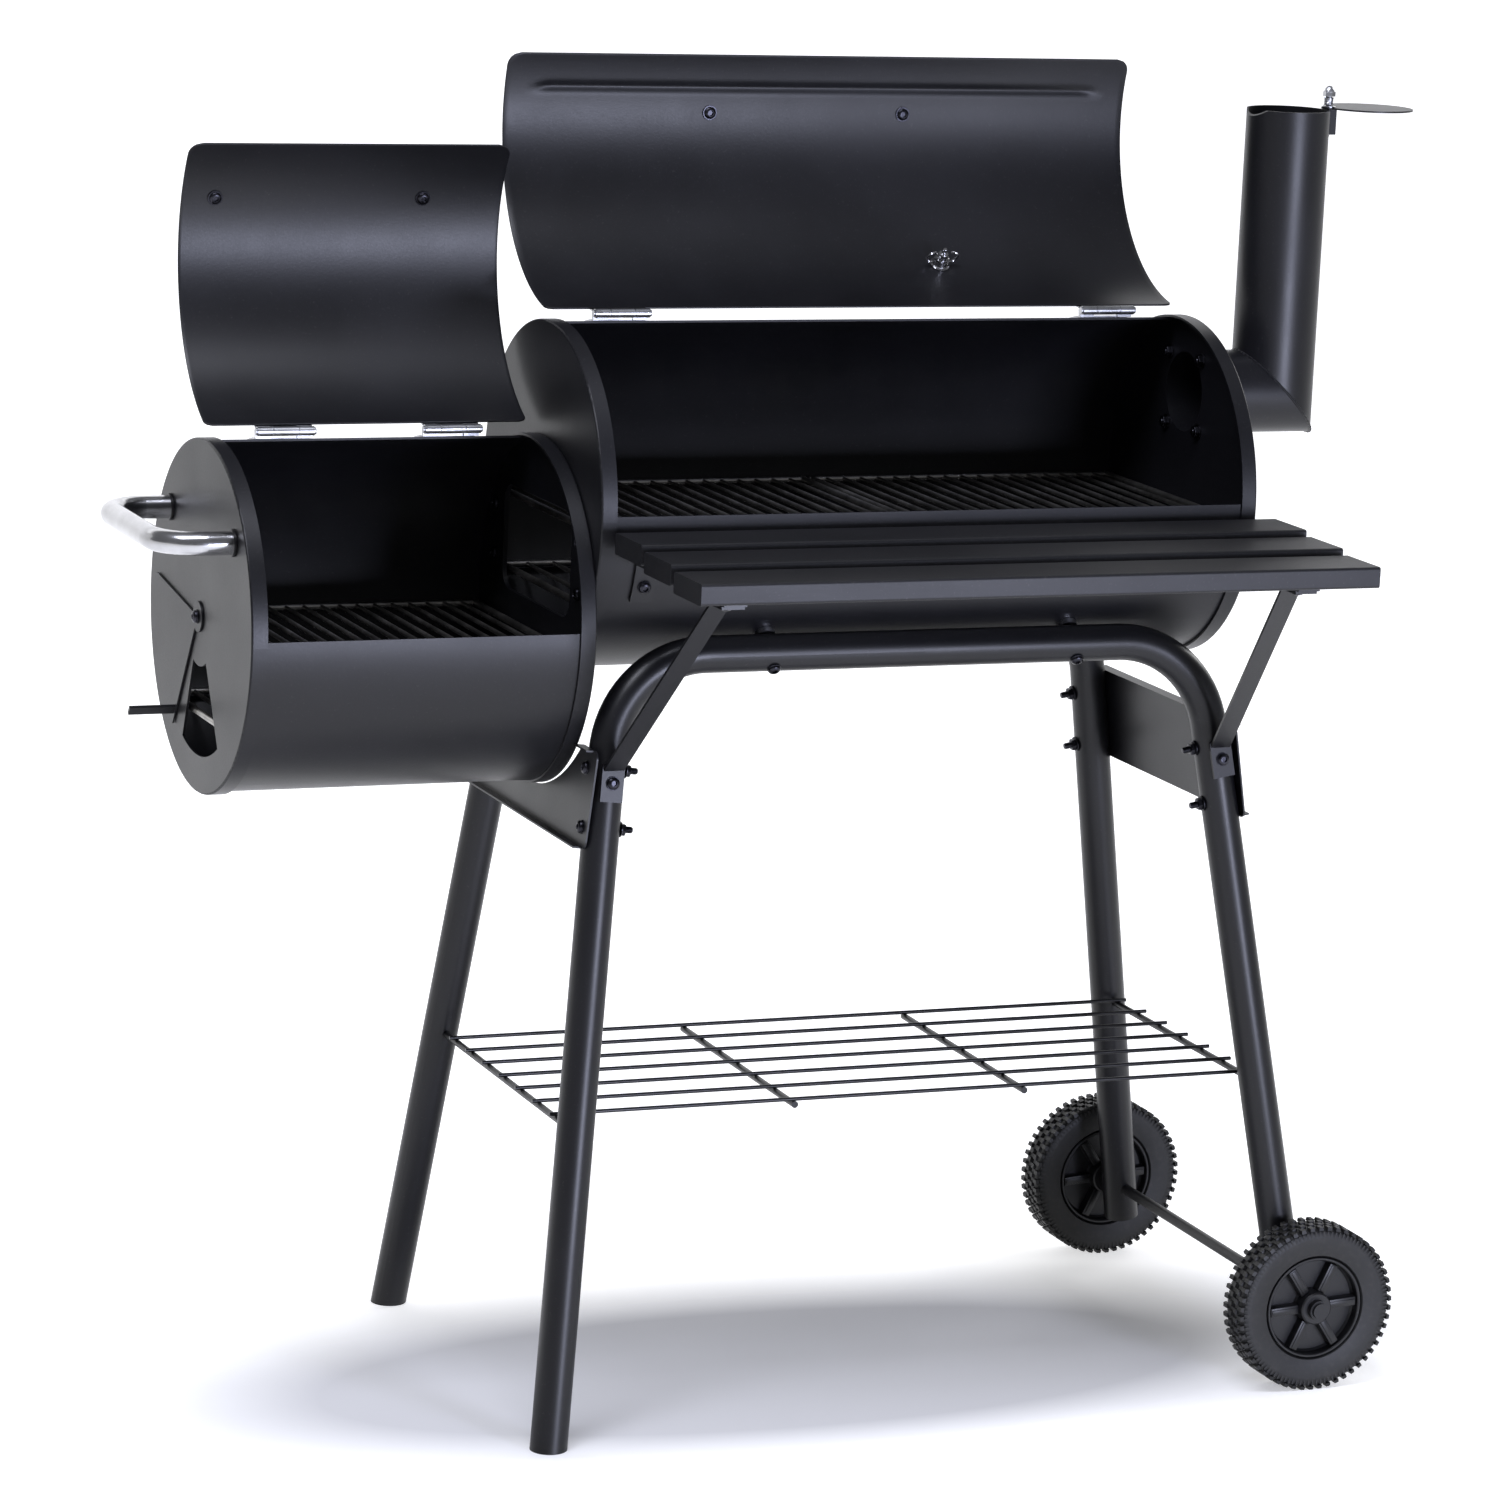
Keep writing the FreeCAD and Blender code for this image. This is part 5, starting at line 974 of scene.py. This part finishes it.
def set_camera(context, look):
    """Put the camera at its place, turned, tipped and rolled."""
    yaw, pitch, roll = look.yaw, look.pitch, look.roll
    ahead = Vector((math.sin(yaw) * math.cos(pitch), math.cos(yaw) * math.cos(pitch), -math.sin(pitch)))
    right = Vector((math.cos(yaw), -math.sin(yaw), 0))
    above = right.cross(ahead)
    rolled_right = right * math.cos(roll) + above * math.sin(roll)
    rolled_up = above * math.cos(roll) - right * math.sin(roll)
    data = bpy.data.cameras.new("Camera")
    data.lens = look.lens
    data.sensor_width = 36.0
    data.clip_end = 100.0
    camera = bpy.data.objects.new("Camera", data)
    context.scene.collection.objects.link(camera)
    turn = Matrix((rolled_right, rolled_up, ahead * -1)).transposed().to_4x4()
    camera.matrix_world = Matrix.Translation(Vector(look.camera)) @ turn
    context.scene.camera = camera


def cove_paint(look):
    """White floor paint with a grey painted shadow where things stand, glowing white away from them."""
    material, tree, where = blank("White painted cove")
    # The grey painted shadow is longer along the barrels than across them.
    oval = add(tree, "ShaderNodeMapping", {"Vector": where, "Scale": (1.0, 2.6, 0.0)}).outputs["Vector"]
    away = add(tree, "ShaderNodeVectorMath", {0: oval}, operation="LENGTH").outputs["Value"]
    # 0 inside the painted shadow, rising to 1 beyond it.
    outside_painted_shadow = spread(tree, away, 0.0, 1.0, look.painted_shadow_radius * 0.75, look.painted_shadow_radius * 1.35)
    grain = noise(tree, where, 30.0, 3.0)
    white = blend(tree, grain, tone("#f4f4f5"), tone("#f7f7f7"))
    # Near the smoker a grey base colour and no glow paint its shadow; away from it the floor glows white.
    paint = add(tree, "ShaderNodeBsdfPrincipled", {
        "Base Color": blend(tree, outside_painted_shadow, tone("#cacacc"), white), "Roughness": 0.75,
        "Emission Color": tone("#ffffff"),
        "Emission Strength": spread(tree, outside_painted_shadow, 0.0, 0.62, 0.0, 1.0)})
    finish_surface(tree, paint.outputs[0])
    return material


def build_cove(context, material):
    """A pale floor that sweeps up into a backdrop."""
    bm = bmesh.new()
    wide, depth, bend, tall = 14.0, 6.0, 2.5, 7.0
    outline = [(-6.0, 0.0), (depth - bend, 0.0)]
    for k in range(1, 13):
        a = math.pi / 2 * k / 12
        outline.append((depth - bend + bend * math.sin(a), bend - bend * math.cos(a)))
    outline.append((depth, tall))
    rows = [[bm.verts.new((x, y, z)) for y, z in outline] for x in (-wide, wide)]
    for i in range(len(outline) - 1):
        bm.faces.new((rows[0][i], rows[1][i], rows[1][i + 1], rows[0][i + 1]))
    mesh = bpy.data.meshes.new("backdrop")
    bm.to_mesh(mesh)
    bm.free()
    for polygon in mesh.polygons:
        polygon.use_smooth = True
    mesh.materials.append(material)
    floor = bpy.data.objects.new("backdrop", mesh)
    context.scene.collection.objects.link(floor)


def softbox(name, spot, aim, wide, tall, power, code):
    """An area light that faces a point."""
    lamp = bpy.data.lights.new(name, "AREA")
    lamp.shape = "RECTANGLE"
    lamp.size = wide
    lamp.size_y = tall
    lamp.energy = power
    lamp.color = tone(code)[:3]
    light = bpy.data.objects.new(name, lamp)
    bpy.context.scene.collection.objects.link(light)
    light.matrix_world = place(Vector(spot), Vector(spot) - Vector(aim), ALONG)


class SmokerMakeStage(bpy.types.Operator):
    """Set the camera, the pale floor and the soft studio light"""
    bl_idname = "smoker.stage"
    bl_label = "Stage"

    def execute(self, context):
        look = context.scene.smoker_stage
        set_camera(context, look)
        build_cove(context, cove_paint(look))

        world = bpy.data.worlds.new("Studio")
        world.use_nodes = True
        tree = world.node_tree
        tree.nodes.clear()
        glow = add(tree, "ShaderNodeBackground", {"Color": tone("#f6f8ff"), "Strength": look.world})
        add(tree, "ShaderNodeOutputWorld", {"Surface": glow.outputs[0]})
        context.scene.world = world

        softbox("key", (-0.9, -0.9, 3.2), (-0.1, 0, 0.7), 2.0, 0.8, look.key, "#eef1ff")
        softbox("back", (0.0, 4.6, 4.2), (0, 4.6, 0), 9.0, 1.6, look.key * 0.5, "#ffffff")
        softbox("front", (0.9, -3.2, 0.52), (-0.2, 0, 1.0), 0.8, 0.5, look.fill, "#dfe4ff")
        softbox("rim", (3.2, 1.2, 2.2), (0, 0, 0.8), 1.0, 2.2, look.fill * 0.4, "#ffffff")
        context.scene.view_settings.view_transform = "Standard"
        context.scene.view_settings.look = "None"
        return {"FINISHED"}


# ---- Panel and registration ----

STEPS = [SmokerMakeFinishes, SmokerMakeLids, SmokerMakeTyres, SmokerMakeWheelCentres, SmokerMakeBolts,
         SmokerMakeScrews, SmokerMakePivot, SmokerMakeWelds, SmokerMakeGauge, SmokerMakeRivets,
         SmokerMakeStage]
GROUPS = {"smoker_finish": SmokerFinish, "smoker_lids": SmokerLids, "smoker_wheels": SmokerWheels,
          "smoker_fasteners": SmokerFasteners, "smoker_stage": SmokerStage}


class SmokerPanel(bpy.types.Panel):
    """Lists the smoker's settings and steps"""
    bl_idname = "VIEW3D_PT_smoker"
    bl_label = "Offset smoker"
    bl_space_type = "VIEW_3D"
    bl_region_type = "UI"
    bl_category = "Smoker"

    def draw(self, context):
        for key, group in GROUPS.items():
            for setting in group.__annotations__:
                self.layout.prop(getattr(context.scene, key), setting)
        for step in STEPS:
            self.layout.operator(step.bl_idname)


def register():
    for group in GROUPS.values():
        bpy.utils.register_class(group)
    for step in STEPS:
        bpy.utils.register_class(step)
    bpy.utils.register_class(SmokerPanel)
    for key, group in GROUPS.items():
        setattr(bpy.types.Scene, key, bpy.props.PointerProperty(type=group))


def unregister():
    for key in GROUPS:
        delattr(bpy.types.Scene, key)
    bpy.utils.unregister_class(SmokerPanel)
    for step in reversed(STEPS):
        bpy.utils.unregister_class(step)
    for group in GROUPS.values():
        bpy.utils.unregister_class(group)


def main():
    """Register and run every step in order."""
    register()
    for step in STEPS:
        family, action = step.bl_idname.split(".")
        getattr(getattr(bpy.ops, family), action)()


if __name__ == "__main__":
    main()
